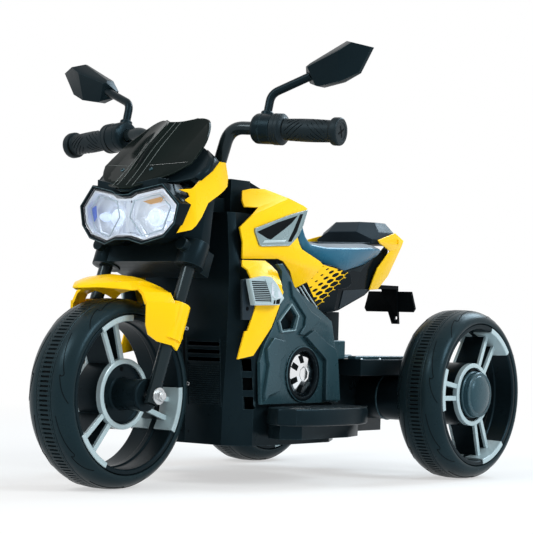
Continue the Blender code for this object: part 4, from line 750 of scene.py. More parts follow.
# Panels whose shape is the CAD one: their finish, slot, edge width and names
panels = (
    ("yellow", "yellow_plastic", 0.0011, bothNames("tank_cover", "side_fin")),
    ("yellow", "yellow_plastic", 0.0012, bothNames("wing")),
    ("yellow", "yellow_plastic", 0.001, ["tail_cowl", "front_fender"]),
    ("frameTeal", "teal_black", 0.0016, bothNames("side_frame")),
    ("satinBlack", "black_plastic", 0.0012, bothNames("body_shell")),
    ("silver", "silver_plastic", 0.001, bothNames("side_lamp")),
    ("satinBlack", "black_plastic", 0.0012, bothNames("footboard")),
    ("satinBlack", "black_plastic", 0.0016, bothNames("gearbox")),
    ("satinBlack", "black_plastic", 0.0012,
        ["lower_yoke", "fork_cover", "front_cowl", "head_bracket", "rear_carrier", "tail_tub", "tank_top",
            "steering_stem", "battery"]), ("glossBlack", "gloss_black", 0.001, ["headlight_housing"]),
    ("screenBlack", "smoked_screen", 0.0008, ["windscreen"]),
    ("seatPaintedBlueSheen", "seat_plastic", 0.0018, ["seat"]), ("tailRed", "red_plastic", 0.0015, ["tail_light"]),
    ("gripRubber", "black_plastic", 0.0006, ["pedal"]),
    ("zincSteel", "steel", 0.0004, ["front_axle", "rear_axle"]))
for material, slot, width, names in panels:
    mouldEdges(names, material, width, slot)
mouldEdges(bothNames("mirror_shell"), "satinBlack", 0.0012, "black_plastic", degrees=12)
# the seat's upper face gets a lighter grey: a painted highlight for the light falling on the seat's top
seatPiece = bpy.data.objects["seat_moulded"]
seatPiece.data.materials.append(paint["seatTopPaintedHighlight"])
for face in seatPiece.data.polygons:
    if face.normal.z > 0.8 and face.center.y > 0.05:
        face.material_index = 1
for name, material in (("headlight_lens", "clearLens"), ("mirror_glass_left", "mirrorGlass"),
                       ("mirror_glass_right", "mirrorGlass"), ("power_switch", "tailRed")):
    for place in nodes[name].material_slots:
        place.material = paint[material]
print("panels made")

chassisScrews, chassisRecesses, steeringScrews, steeringRecesses = (bmesh.new() for _ in range(4))

# Steering: a raked frame for the fork
steering = dict(origin=(0, -0.197, 0.298), rake=0.363, forkHalf=0.077, forkBack=-0.02667, legLow=-0.20184,
                legHigh=0.0218, legRadius=0.0095, rise=0.155)


def steerPoint(across, back, up):
    rake = steering["rake"]
    return Vector(steering["origin"]) + Vector((across, back * cos(rake) + up * sin(rake),
                                                up * cos(rake) - back * sin(rake)))


steerUp = Vector((0, sin(steering["rake"]), cos(steering["rake"])))
for side, word in sides:
    radius, length = steering["legRadius"], steering["legHigh"] - steering["legLow"]
    leg = lathe([(0, length), (radius, length), (radius, 0.0012), (radius - 0.0004, 0.0002),
                 (radius - 0.0008, 0), (radius - 0.0018, 0), (radius - 0.002, 0.001), (radius - 0.002, 0.006),
                 (0, 0.006)], 48, closed=False)
    foot = steerPoint(side * steering["forkHalf"], steering["forkBack"], steering["legLow"])
    addPiece(move(leg, aim(steerUp, foot)), "fork_tube_" + word, "steering", "forkTube", "black_plastic",
             replaces=("fork_leg_" + word,))

# Handlebar, grips, switch housings and mirror stalks
bar = dict(
    radius=0.0095, gripIn=(0.1505, -0.1318, 0.5016), gripWay=(0.1031, 0.0153, -0.0064), gripLength=0.104,
    bendRadius=0.03, grooves=13, slope=58, grooveDepth=0.0012, grooveStart=0.0205, grooveEnd=0.087,
    switchLength=0.031, switchRadius=0.0215, stalkFoot=(0.1327, -0.129, 0.5185),
    stalkBend=(0.133, -0.12, 0.553), stalkEnd=(0.191, -0.1065, 0.5765), stalkRadius=0.006)
gripIn, gripWay = Vector(bar["gripIn"]), Vector(bar["gripWay"]).normalized()
barStart = steerPoint(0, 0, steering["rise"])
half = bentPath([barStart + Vector((0.001, 0, 0)), barStart + Vector((0.056, 0, 0)), gripIn - gripWay * 0.073,
                 gripIn + gripWay * (bar["gripLength"] - 0.009)], bar["bendRadius"], 12)
bm = addTube(bmesh.new(), [Vector((-p.x, p.y, p.z)) for p in reversed(half)] + half, bar["radius"], 8)
addPiece(bm, "handlebar_tube", "steering", "forkTube", "gloss_black", sharp=40, replaces=("handlebar",))


def makeGrip():
    length, columns, rows = bar["gripLength"], bar["grooves"] * 6, 36
    first, last = bar["grooveStart"], bar["grooveEnd"]
    profile = [
        (0.0103, 0.0), (0.0216, 0.0), (0.0222, 0.0006), (0.0222, 0.006), (0.0216, 0.0068), (0.0216, 0.0078),
        (0.0222, 0.0084), (0.0222, 0.0118), (0.0214, 0.0128), (0.0175, 0.0142), (0.0156, 0.016),
        (0.0154, 0.0185)]
    profile += [(0.0153 + 0.0008 * sin(pi * k / rows), first + (last - first) * k / rows)
                for k in range(rows + 1)]
    profile += [(0.0153, 0.089), (0.0162, 0.0903), (0.0188, 0.0922), (0.0194, 0.0935),
                (0.0195, length - 0.003), (0.0189, length - 0.0012), (0.0176, length - 0.0002),
                (0.013, length), (0.0126, length - 0.0008), (0.009, length - 0.0008), (0, length - 0.0008)]
    bm = lathe(profile, columns, closed=False)
    middle, column = (first + last) / 2, 2 * pi / columns
    grooves = []
    for face in bm.faces:
        centre = face.calc_center_median()
        index = int((atan2(centre.y, centre.x) % (2 * pi)) / column)
        begin, end = (0.0035, 0.002) if index // 6 % 2 else (0.01, 0.006)
        if index % 6 < 2 and begin < abs(centre.z - middle) < (last - first) / 2 - end:
            grooves.append(face)
    bmesh.ops.inset_region(bm, faces=grooves, thickness=0.0003, depth=-bar["grooveDepth"],
                           use_even_offset=True, use_boundary=True)
    # the grooves slant away from the middle on both sides
    for vert in bm.verts:
        span = min(abs(vert.co.z - middle), (last - first) / 2 + 0.002)
        if vert.co.xy.length > 0.012 and first - 0.002 < vert.co.z < last + 0.004:
            vert.co = Matrix.Rotation(bar["slope"] * span, 4, "Z") @ vert.co
    return bm


for side, word in sides:
    place = aim(gripWay, gripIn)
    mirror = Matrix.Scale(-1, 4, (1, 0, 0)) if side < 0 else Matrix.Identity(4)
    addPiece(move(makeGrip(), mirror @ place), "grip_grooved_" + word, "steering", "gripRubber",
             "black_plastic", sharp=30, replaces=("grip_" + word,), recalc=True)
    cap, tip = bmesh.new(), bar["gripLength"]
    for turn in (0.5, 2.0):
        addBlock(cap, (-0.0085, -0.0011, tip - 0.002), (0.0085, 0.0011, tip - 0.0004),
                 Matrix.Rotation(turn, 4, "Z"))
    addPiece(move(cap, mirror @ place), "grip_cap_cross_" + word, "steering", "deepBlack", recalc=True)
    length, radius = bar["switchLength"], bar["switchRadius"]
    housing = lathe([(0.0101, 0.0), (radius - 0.006, 0.0), (radius - 0.0022, 0.0012),
                     (radius - 0.0004, 0.004), (radius, 0.006), (radius, 0.0128), (radius - 0.0009, 0.0131),
                     (radius - 0.0009, 0.014), (radius, 0.0143), (radius, length - 0.0012),
                     (radius - 0.001, length), (0.0101, length)], 64)
    move(housing, aim(gripWay, gripIn - gripWay * (length + 0.0003)))
    foot, bend, end = (Vector(bar[key]) for key in ("stalkFoot", "stalkBend", "stalkEnd"))
    way = (bend - foot).normalized()
    collar = lathe([(0.0061, -0.004), (0.0092, -0.004), (0.0092, 0.0072), (0.0082, 0.0085),
                    (0.0061, 0.0085)], 32)
    appendMesh(housing, move(collar, aim(way, foot)))
    addPiece(move(housing, mirror), "switch_block_" + word, "steering", "satinBlack", "black_plastic",
             sharp=28, replaces=("switch_housing_" + word,), recalc=True)
    # two push buttons that face the rider
    buttons, out = bmesh.new(), Vector((0, cos(0.35), sin(0.35)))
    for offset in (-0.0062, 0.0062):
        made = lathe([(0, 0.0012), (0.0034, 0.0012), (0.004, 0.0006), (0.004, -0.002), (0, -0.002)], 24,
                     closed=False)
        middle = gripIn + gripWay * (offset - length / 2)
        appendMesh(buttons, move(made, aim(out, middle + out * radius)))
    addPiece(move(buttons, mirror), "push_buttons_" + word, "steering",
             "tailRed" if side > 0 else "frameTeal", recalc=True)
    stalk = addTube(bmesh.new(), bentPath([foot + way * 0.0003, bend, end], 0.018, 12), bar["stalkRadius"], 6)
    addPiece(move(stalk, mirror), "mirror_arm_" + word, "steering", "satinBlack", "black_plastic",
             replaces=("mirror_stalk_" + word,), recalc=True)
print("handlebar made")

# Headlight: dark bezel, bright tray with two lamps, ribs between them, clear cover
facingFront = Matrix(((0, 1, 0, 0), (-1, 0, 0, 0), (0, 0, 1, 0), (0, 0, 0, 1)))
headlight = dict(
    front=0.276, sweep=0.16, trayDepth=0.0185, bowlDepth=0.0105, bowlFloor=0.52,
    bulbs=((0.0345, 0.3735, 0.0105, 0.0105), (0.059, 0.3748, 0.0058, 0.006)), ribs=7, ribPitch=0.0021,
    ribHalf=0.0005, ribLow=0.352, ribHigh=0.3925,
    amber=((0.0215, 0.3945), (0.053, 0.4012), (0.048, 0.3935), (0.033, 0.3905)),
    blue=((0.0765, 0.3905), (0.0835, 0.387), (0.08, 0.368), (0.0745, 0.375)),
    brow=[(-0.056, 0.414), (-0.02, 0.4065), (0.02, 0.4065), (0.056, 0.414), (0.056, 0.426), (0.02, 0.419),
        (-0.02, 0.419), (-0.056, 0.426)])
lensHalf = [
    (0.0, 0.398), (0.013, 0.399), (0.022, 0.404), (0.063, 0.412), (0.086, 0.388), (0.081, 0.365),
    (0.066, 0.349), (0.034, 0.34), (0.013, 0.346), (0.0, 0.346)]
lensLine = lensHalf + [(-x, z) for x, z in reversed(lensHalf) if x > 0]
lampHexagon = [(0.0155, 0.395), (0.056, 0.404), (0.0745, 0.386), (0.0625, 0.3545), (0.03, 0.3455),
               (0.0085, 0.3725)]


def lampFace(depth):
    return lambda y, z: headlight["front"] - headlight["sweep"] * abs(y) - depth


def addFront(bm, name, material, slot, **options):
    return addPiece(move(faceOut(bm), facingFront), name, "steering", material, slot, **options)


trayFace = lampFace(headlight["trayDepth"])
tray, bowls, bulbs, ridges, ambers, blues, liner, bead, brow = (bmesh.new() for _ in range(9))
for side in (-1, 1):
    hexagon, outer, amber, blue = ([(side * y, z) for y, z in line] for line in
                                   (lampHexagon, lensHalf, headlight["amber"], headlight["blue"]))
    # each half of the tray is a sheet with the lamp's opening left in it
    edges = [edge for line in (drawIn(outer, 0.0012), hexagon)
             for edge in edgeRing(tray, [(trayFace(y, z), y, z) for y, z in line])[1]]
    bmesh.ops.bridge_loops(tray, edges=edges)
    # faceted bowl
    cap = bowls.faces.new([bowls.verts.new((trayFace(y, z), y, z)) for y, z in hexagon])
    bmesh.ops.inset_region(bowls, faces=[cap], thickness=0.0012, depth=0.0, use_even_offset=True)
    deep = bmesh.ops.extrude_face_region(bowls, geom=[cap])["geom"]
    verts = [item for item in deep if isinstance(item, bmesh.types.BMVert)]
    centre = sum((vert.co for vert in verts), Vector()) / len(verts)
    for vert in verts:
        vert.co = centre + (vert.co - centre) * headlight["bowlFloor"]
        vert.co.x -= headlight["bowlDepth"]
    bowls.faces.remove(cap)
    for y, z, radius, sunk in headlight["bulbs"]:
        made = lathe([(0, -0.002), (radius * 1.18, -0.002), (radius * 1.18, 0.0045), (radius, 0.0055),
                      (radius * 0.98, 0.0075), (radius * 0.8, 0.0105), (radius * 0.45, 0.013), (0, 0.0138)],
                     32, closed=False)
        appendMesh(bulbs, move(made, aim((1, 0, 0), (trayFace(y, z) - sunk, side * y, z))))
    addFrame(ridges, hexagon, 0.0011, lampFace(0.005), lampFace(0.0036))
    if side > 0:
        addSlab(ambers, amber, trayFace, lift(trayFace, 0.004))
    addSlab(blues, blue, trayFace, lift(trayFace, 0.003))
for k in range(headlight["ribs"]):
    y, half = (k - (headlight["ribs"] - 1) / 2) * headlight["ribPitch"], headlight["ribHalf"]
    addBlock(tray, (trayFace(y, 0) - 0.001, y - half, headlight["ribLow"]),
             (lampFace(0.015)(y, 0), y + half, headlight["ribHigh"]))
addFrame(liner, drawIn(lensLine, 0.0009), 0.0009, trayFace, lampFace(0.0018))
addFrame(liner, drawIn(lensLine, 0.0016), 0.0022, lampFace(0.004), lampFace(0.003))
# the liner, tray and bowls glow a little: painted reflection
for bm, name, material in ((liner, "lamp_liner", "lampSilverPaintedGlow"), (tray, "lamp_tray", "lampSilverPaintedGlow"),
                           (bowls, "lamp_bowls", "lampSilverPaintedGlow"), (bulbs, "lamp_bulbs", "lampGlow"),
                           (ridges, "lamp_ridges", "silver"), (ambers, "lamp_amber", "amber"),
                           (blues, "lamp_blue", "lampBlue")):
    addFront(bm, name, material, "chrome_plastic", sharp=20,
             replaces=("headlight_reflector",) if name == "lamp_bowls" else ())
for name in ("lamp_tray", "lamp_bowls"):
    thicken(bpy.data.objects[name], 0.0008)
# thin bright bead round the bezel, and a brow over it
addFrame(bead, drawIn(lensLine, -0.0048), 0.0007, lampFace(-0.002), lampFace(-0.0034))
addFront(bead, "bezel_bead", "frameTeal", "teal_black", soft=(0.0003, 2, 30))
addSlab(brow, headlight["brow"], lampFace(0.045), lampFace(-0.001))
addFront(brow, "lamp_brow", "satinBlack", "black_plastic", soft=(0.0008, 2, 30))
print("headlight made")

# Windscreen: a curved blade with a channel and a slot down its spine, light lines along its creases that are
# painted highlights, and two screws
screen = dict(
    baseY=-0.286, baseZ=0.412, slope=1 / 0.864, sweep=0.2, thick=0.0037, bulge=0.014, bulgeHalf=0.048,
    bulgeLow=0.422, bulgeRise=0.06, channelHalf=0.0072, channelDepth=0.0024, channelLow=0.424,
    channelHigh=0.512, corner=0.011, cuts=(0.012, 0.02, 0.03, 0.04, 0.052), levels=13, levelStep=0.0075,
    half=[(0.018, 0.4125), (0.048, 0.424), (0.066, 0.434), (0.081, 0.449), (0.0755, 0.48), (0.0625, 0.503),
        (0.05, 0.5165), (0.038, 0.5205), (0.026, 0.5185), (0.012, 0.5135)],
    slots=((0.45, 0.47), (0.47, 0.49)), screw=(0.026, 0.44),
    creases=(((0.0084, 0.416), (0.0074, 0.514), 0.00025), ((0.0185, 0.415), (0.0135, 0.5145), 0.0003),
        ((0.02, 0.446), (0.074, 0.45), 0.0002)))


def screenBulge(y, z):
    rise = min(max((z - screen["bulgeLow"]) / screen["bulgeRise"], 0.0), 1.0)
    return screen["bulge"] * max(1 - abs(y) / screen["bulgeHalf"], 0.0) ** 2 * rise * rise * (3 - 2 * rise)


def screenFace(out):
    base = -screen["baseY"] + screen["slope"] * screen["baseZ"]
    return lambda y, z: base - screen["slope"] * z - screen["sweep"] * abs(y) + out + screenBulge(y, z)


blade, slot, creases, bladeScrews = (bmesh.new() for _ in range(4))
bladeLine = screen["half"] + [(-y, z) for y, z in reversed(screen["half"])]
addSlab(blade, roundOutline(bladeLine, screen["corner"]), 0.0, 1.0)
half = screen["channelHalf"]
cuts = (half - 0.0012, half, *screen["cuts"])
cutAcross(blade, 1, [side * place for side in (-1, 1) for place in cuts] + [0.0])
cutAcross(blade, 2, [screen["bulgeLow"] + screen["levelStep"] * k for k in range(screen["levels"])])
for vert in blade.verts:
    inside = abs(vert.co.y) < half - 0.0006 and screen["channelLow"] < vert.co.z < screen["channelHigh"]
    sunk = screen["channelDepth"] if inside else 0.0
    front = screenFace(-sunk)(vert.co.y, vert.co.z)
    vert.co.x = front if vert.co.x > 0.5 else front - screen["thick"] + sunk * 0.5
addFront(blade, "screen_blade", "screenBlack", "smoked_screen", sharp=24, replaces=("windscreen",))
# the slots are dark slabs in the channel: painted shade where the slots open
for low, high in screen["slots"]:
    addSlab(slot, [(-0.0032, low), (0.0032, low), (0.0029, high), (-0.0029, high)], screenFace(-0.003),
            screenFace(-0.0012))
for side in (-1, 1):
    # thin light tubes along the creases: painted highlights
    for (y0, z0), (y1, z1), radius in screen["creases"]:
        path = []
        for k in range(17):
            y, z = y0 + (y1 - y0) * k / 16, z0 + (z1 - z0) * k / 16
            path.append(Vector((screenFace(0.0001)(side * y, z), side * y, z)))
        addTube(creases, path, radius, 3)
    y, z = screen["screw"]
    place, way = Vector((screenFace(0.0004)(y, z), side * y, z)), Vector((1, -side * 0.2, 0.75)).normalized()
    addScrew(bladeScrews, steeringRecesses, facingFront @ place, facingFront.to_3x3() @ way, 0.003)
addFront(slot, "screen_slot", "deepBlack", "smoked_screen")
addFront(creases, "screen_creases", "screenCreaseHighlight", "smoked_screen")
addPiece(faceOut(bladeScrews), "blade_screws", "steering", "frameTeal", "steel", sharp=25)

# Dark cheeks between the cowl and the yellow wings
cheek = dict(
    cowl=[(0.074, -0.1862, 0.47), (0.085, -0.1959, 0.458), (0.0915, -0.2102, 0.444),
        (0.088, -0.2295, 0.4285)],
    wing=[(0.085, -0.178, 0.457), (0.093, -0.183, 0.452), (0.0955, -0.2001, 0.4385),
        (0.0955, -0.2222, 0.4243)])
for side, word in sides:
    bm = bmesh.new()
    rows = [[bm.verts.new((side * x, y, z)) for x, y, z in cheek[key]] for key in ("cowl", "wing")]
    bmesh.ops.bridge_loops(bm, edges=[bm.edges.new(pair) for row in rows for pair in zip(row, row[1:])])
    piece = addPiece(faceOut(bm), "cowl_cheek_" + word, "steering", "satinBlack", "black_plastic", sharp=20)
    thicken(piece, 0.0024)

# Fork sleeves of the fender, with a screw on each
sleeve = dict(top=-0.0575, low=-0.11, outer=0.0172, inner=0.0101, screw=-0.088)
for side, word in sides:
    length, inner, outer = sleeve["top"] - sleeve["low"], sleeve["inner"], sleeve["outer"]
    bm = lathe([(inner, 0.0), (outer, 0.0), (outer + 0.0004, length * 0.5), (outer, length - 0.001),
                (outer - 0.001, length), (inner, length)], 40)
    leg = side * steering["forkHalf"], steering["forkBack"]
    move(bm, aim(steerUp, steerPoint(*leg, sleeve["low"])))
    addPiece(bm, "fender_sleeve_" + word, "steering", "yellow", "yellow_plastic", sharp=40)
    place = steerPoint(*leg, sleeve["screw"]) + Vector((side * 0.014, -0.004, 0))
    addScrew(steeringScrews, steeringRecesses, place, Vector((side, -0.28, 0)).normalized(), 0.0024)
print("windscreen made")

# Tank: silver badge plate, bare, with dark insets
tankFace = lowestOf([planeThrough((0.096, -0.1, 0.372), (0.101, 0.01, 0.388), (0.064, -0.1, 0.424)),
                     planeThrough((0.096, -0.1, 0.366), (0.101, 0.01, 0.388), (0.097, -0.03, 0.345)),
                     planeThrough((0.094, -0.1, 0.343), (0.098, 0.0, 0.348), (0.092, -0.03, 0.32)),
                     planeThrough((0.0935, -0.06, 0.33), (0.09, 0.02, 0.34), (0.096, 0.01, 0.29))])
badge = dict(
    outline=[(0.0397, 0.4017), (-0.0065, 0.3915), (-0.0449, 0.3807), (-0.0969, 0.366), (-0.0976, 0.3615),
        (-0.0885, 0.3426), (-0.0835, 0.3408), (-0.0139, 0.3453), (0.0105, 0.3606), (0.0246, 0.3769)],
    inset=[(-0.0925, 0.3612), (-0.04, 0.378), (0.013, 0.3915), (-0.004, 0.3795), (-0.024, 0.369),
        (-0.06, 0.352), (-0.068, 0.353)],
    stripe=[(0.019, 0.3938), (0.0268, 0.3945), (0.0085, 0.368), (-0.0085, 0.3515), (-0.0175, 0.3512),
        (-0.001, 0.369)], sill=[(-0.076, 0.3498), (-0.0215, 0.3535), (-0.0262, 0.35), (-0.081, 0.3458)],
    rise=0.002)
plate, dark, sill = (bmesh.new() for _ in range(3))
rise = badge["rise"]
addFrame(plate, badge["outline"], 0.0016, lift(tankFace, 0.0005), lift(tankFace, rise + 0.0008))
for bm, key, low, high in ((plate, "outline", -0.0006, rise), (dark, "inset", 0.0004, rise + 0.0004),
                           (dark, "stripe", 0.0004, rise + 0.0004), (sill, "sill", 0.0004, rise + 0.0009)):
    addSlab(bm, badge[key], lift(tankFace, low), lift(tankFace, high))
for bm, stem, material in ((plate, "tank_badge", "badgeSilver"), (dark, "badge_inset", "deepBlack"),
                           (sill, "badge_sill", "silver")):
    addPair(bm, stem, material, "silver_plastic", 4, soft=(0.0004, 2, 34))

# Side lamps: silver louvres in a frame, a pale strip behind them, a dark bracket with a hole below
sideLampFace = lowestOf([planeThrough((0.124, -0.13, 0.29), (0.128, -0.088, 0.29), (0.125, -0.12, 0.26)),
                         planeThrough((0.1285, -0.088, 0.29), (0.122, -0.058, 0.27), (0.1285, -0.094, 0.26))])
sideLamp = dict(
    louvres=11, top=0.2888, pitch=0.00262, half=0.00085, sunk=-0.0004, hole=(0.1118, -0.1345, 0.251),
    frame=[(-0.144, 0.2915), (-0.113, 0.295), (-0.099, 0.27), (-0.0975, 0.2582), (-0.133, 0.2575)],
    corner=[(-0.0935, 0.264), (-0.0765, 0.2665), (-0.079, 0.2592), (-0.0945, 0.2588)],
    strip=[(-0.099, 0.2895), (-0.079, 0.276), (-0.072, 0.269), (-0.076, 0.268), (-0.093, 0.267),
        (-0.1, 0.272)],
    bracket=[(-0.1466, 0.2911), (-0.132, 0.2939), (-0.118, 0.257), (-0.1232, 0.2356), (-0.1441, 0.2352)])
grooves, frames, white, bracket = (bmesh.new() for _ in range(4))
base = lift(sideLampFace, sideLamp["sunk"])
for k in range(sideLamp["louvres"]):
    z, half = sideLamp["top"] - k * sideLamp["pitch"], sideLamp["half"]
    drop = sideLamp["top"] - z
    # each louvre is dark up to the lamp's fold and silver behind it
    front, fold, rear = -0.142 + drop * 0.36, -0.1095 + drop * 0.42, min(-0.0965 + drop * 0.9, -0.0765)
    low, high, start = z - half, z + half, fold + 0.002
    addSlab(grooves, [(front, low), (fold, low + 0.0004), (fold, high + 0.0004), (front, high)], base,
            lift(sideLampFace, 0.0002))
    addSlab(frames, [(start, low), (rear, low), (rear, high - 0.0004), (start, high - 0.0004)], base,
            lift(sideLampFace, 0.0005))
addFrame(frames, sideLamp["frame"], 0.0016, base, lift(sideLampFace, 0.001))
addSlab(grooves, sideLamp["corner"], base, lift(sideLampFace, 0.0007))
addSlab(white, sideLamp["strip"], base, lift(sideLampFace, 0.0008))
addSlab(bracket, sideLamp["bracket"], 0.1085, 0.112)
# the bracket's hole is a dark disc: painted shade
hole = move(lathe([(0, 0.0), (0.003, 0.0), (0.003, 0.0006), (0, 0.0006)], 20, closed=False),
            Matrix.Translation(sideLamp["hole"]) @ alongX)
for bm, stem, material in ((grooves, "lamp_grooves", "deepBlack"), (frames, "lamp_frames", "silver"),
                           (white, "lamp_white", "lampWhite"), (bracket, "lamp_bracket", "padPlastic"),
                           (hole, "lamp_hole", "deepBlack")):
    addPair(bm, stem, material, "silver_plastic")

# Side frames: raised arms round the disc, bright edge round the opening
frameFace = 0.1148
arms = dict(
    rear=[(-0.0061, 0.2133), (0.0144, 0.2231), (0.048, 0.2043), (0.069, 0.196), (0.0745, 0.185),
        (0.083, 0.1188), (0.0469, 0.1194), (0.0459, 0.1792), (0.0323, 0.1888)],
    front=[(-0.096, 0.1956), (-0.08, 0.211), (-0.0548, 0.2072), (-0.0509, 0.1885), (-0.063, 0.179),
        (-0.0665, 0.1568), (-0.06, 0.1474), (-0.065, 0.1344), (-0.09, 0.1283), (-0.096, 0.1221),
        (-0.0985, 0.1313), (-0.09, 0.1736), (-0.093, 0.1791)],
    upper=[(-0.04, 0.2935), (-0.0268, 0.2815), (0.011, 0.25), (0.036, 0.24), (0.0111, 0.225),
        (-0.0078, 0.2152), (-0.018, 0.217), (-0.006, 0.229), (-0.003, 0.242), (-0.035, 0.272)],
    opening=[(-0.0362, 0.261), (-0.0185, 0.2437), (-0.027, 0.2215), (-0.06, 0.2185), (-0.0672, 0.235)])


def armFace(out):
    fold = planeThrough((frameFace, -0.05, 0.226), (frameFace, 0.05, 0.226), (frameFace - 0.003, 0.0, 0.3165))
    return lambda y, z: min(frameFace, fold[0] + fold[1] * y + fold[2] * z) + out


raised, bright = bmesh.new(), bmesh.new()
for key, rise in (("rear", 0.0075), ("front", 0.006), ("upper", 0.0045)):
    addSlab(raised, arms[key], armFace(-0.001), armFace(rise))
addFrame(bright, arms["opening"], 0.0021, armFace(-0.001), armFace(0.0036))
addPair(raised, "frame_arms", "frameTeal", "teal_black", 4, soft=(0.0014, 2, 30))
addPair(bright, "opening_edge", "frameEdge", "teal_black", 4, soft=(0.0005, 2, 30))

# Chrome disc: eight facets with dark windows, in a black ring
disc = dict(centre=(-0.005, 0.159), radius=0.0325, ring=0.041, base=0.1088, windows=(100, 150, 205, 255))
for side, word in sides:
    place = Matrix.Scale(side, 4, (1, 0, 0)) @ Matrix.Translation((disc["base"], *disc["centre"])) @ fromLathe
    radius, outer = disc["radius"], disc["ring"]
    face = lathe([(radius - 0.0004, 0.0), (radius - 0.0004, 0.0026), (radius * 0.86, 0.0052),
                  (radius * 0.7, 0.0068), (radius * 0.36, 0.0098), (radius * 0.3, 0.009), (0, 0.0098)],
                 8, closed=False)
    addPiece(move(face, place @ Matrix.Rotation(0.2, 4, "Z")), "chrome_disc_" + word, "chassis",
             "chromePlastic", "chrome_plastic", sharp=6, replaces=("engine_disc_" + word,), recalc=True)
    ring = lathe([(radius + 0.0002, 0.0), (radius + 0.0002, 0.0078), (radius + 0.0012, 0.0092),
                  (outer - 0.0035, 0.0096), (outer - 0.0008, 0.0086), (outer, 0.007), (outer, 0.0)], 64)
    addPiece(move(ring, place), "disc_ring_" + word, "chassis", "glossBlack", "gloss_black", sharp=30,
             recalc=True)
    windows = bmesh.new()
    for angle in disc["windows"]:
        verts = addBlock(windows, (radius * 0.5, -0.0042, 0.004), (radius * 0.84, 0.0042, 0.0078))
        for vert in verts:
            # a window's face slopes with the disc's facets
            if vert.co.z > 0.006:
                vert.co.z = 0.0118 - 0.19 * vert.co.x
        bmesh.ops.transform(windows, matrix=place @ Matrix.Rotation(radians(angle), 4, "Z"), verts=verts)
    addPiece(windows, "disc_windows_" + word, "chassis", "deepBlack", soft=(0.0004, 2, 30), recalc=True)
print("side frames made")

# Side panels under the seat: gloss black, yellow honeycomb that opens up towards the tail. The honeycomb is a
# lattice whose places are first + n * along + m * down
honey = dict(
    first=(0.0827, 0.3195), along=(0.01082, -0.00401), down=(-0.01373, -0.0096), face=0.0838, thick=0.0009,
    holes={0: 0.16, 1: 0.32, 2: 0.54, 3: 0.72, 4: 0.85},
    edges=[(0.042, 0.2941), (0.0717, 0.3187), (0.0807, 0.3221), (0.143, 0.3134)],
    lowEdge=[(0.07, 0.26), (0.042, 0.2941)],
    panel=[(0.03, 0.296), (0.07, 0.3228), (0.108, 0.3218), (0.156, 0.312), (0.162, 0.296), (0.148, 0.2882),
        (0.126, 0.2859), (0.117, 0.2534), (0.0692, 0.2474), (0.0289, 0.29)],
    recess=[(0.0105, 0.2845), (0.027, 0.2925), (0.041, 0.29), (0.068, 0.252), (0.056, 0.2455)],
    louvres=(((0.013, 0.2838), (0.0342, 0.2636), (0.056, 0.249)),
        ((0.0205, 0.2862), (0.041, 0.2675), (0.06, 0.2535)),
        ((0.0275, 0.289), (0.048, 0.2705), (0.065, 0.257))))


def honeycomb(bm):
    first, along, down = (Vector(honey[key]) for key in ("first", "along", "down"))
    diagonal = along - down
    points = [(along + diagonal) / 3, (diagonal - down) / 3, (-down - along) / 3]
    points += [-point for point in points]
    for n in range(-5, 5):
        for m in range(-4, 7):
            middle = first + along * n + down * m
            outer = [bm.verts.new((0, *(middle + point))) for point in points]
            if n < 0:
                bm.faces.new(outer)
                continue
            inner = [bm.verts.new((0, *(middle + point * honey["holes"][n]))) for point in points]
            for k in range(6):
                bm.faces.new((outer[k - 1], outer[k], inner[k], inner[k - 1]))
            if n == 4:
                # frayed ends that run on past the last cells
                for corner in (points[0], points[1]):
                    tip, across = middle + corner * 1.42, Vector((-corner.y, corner.x)).normalized() * 0.0006
                    root = middle + corner * 0.97
                    ends = (root - across, tip - across * 0.6, tip + across * 0.6, root + across)
                    bm.faces.new([bm.verts.new((0, *place)) for place in ends])
    weld(bm, 0.00005)
    for line in (honey["edges"], honey["lowEdge"]):
        for start, end in zip(line, line[1:]):
            way = Vector((0, end[0] - start[0], end[1] - start[1]))
            bmesh.ops.bisect_plane(bm, geom=wholeMesh(bm), plane_co=(0, *start),
                                   plane_no=Vector((1, 0, 0)).cross(way), clear_outer=True, dist=0.00001)
    made = bmesh.ops.extrude_face_region(bm, geom=bm.faces[:])["geom"]
    setLevel(bm.verts, honey["face"] - 0.0003)
    setLevel([item for item in made if isinstance(item, bmesh.types.BMVert)], honey["face"] + honey["thick"])
    return faceOut(bm)


panel, recess, louvres = (bmesh.new() for _ in range(3))
addSlab(panel, honey["panel"], 0.064, honey["face"])
# dark slab behind the louvres: painted shade in the vent
addSlab(recess, honey["recess"], 0.08, 0.0862)
for line in honey["louvres"]:
    addTube(louvres, bentPath([(0.0872, y, z) for y, z in line], 0.03, 6), 0.0013, 3)
for bm, stem, material, soft in ((panel, "side_panel", "glossBlack", (0.0012, 2, 40)),
                                 (honeycomb(bmesh.new()), "honeycomb", "yellow", None),
                                 (louvres, "panel_louvres", "silver", None),
                                 (recess, "louvre_recess", "deepBlack", None)):
    addPair(bm, stem, material, "gloss_black", 6, sharp=30, soft=soft)
print("side panels made")

# Front of the body: fine ribs under the slots, a frame round them, centre seam, screws
shroud = dict(
    ribTop=0.169, ribLow=0.115, ribs=19, left=0.008, right=0.064, uprights=(0.0055, 0.0665),
    uprightLow=0.112, uprightTop=0.2075, seam=(0.062, 0.115, 0.19, 0.222),
    screws=((-0.006, 0.221), (0.006, 0.074), (-0.006, 0.074), (0.056, 0.066), (-0.056, 0.066),
        (0.006, 0.142), (0.006, 0.221)))
ribs, seam = bmesh.new(), bmesh.new()


def shroudFront(z):
    return -0.13 - (z - 0.115) * 0.08 if z < 0.19 else -0.136 - (z - 0.19) * 0.0588


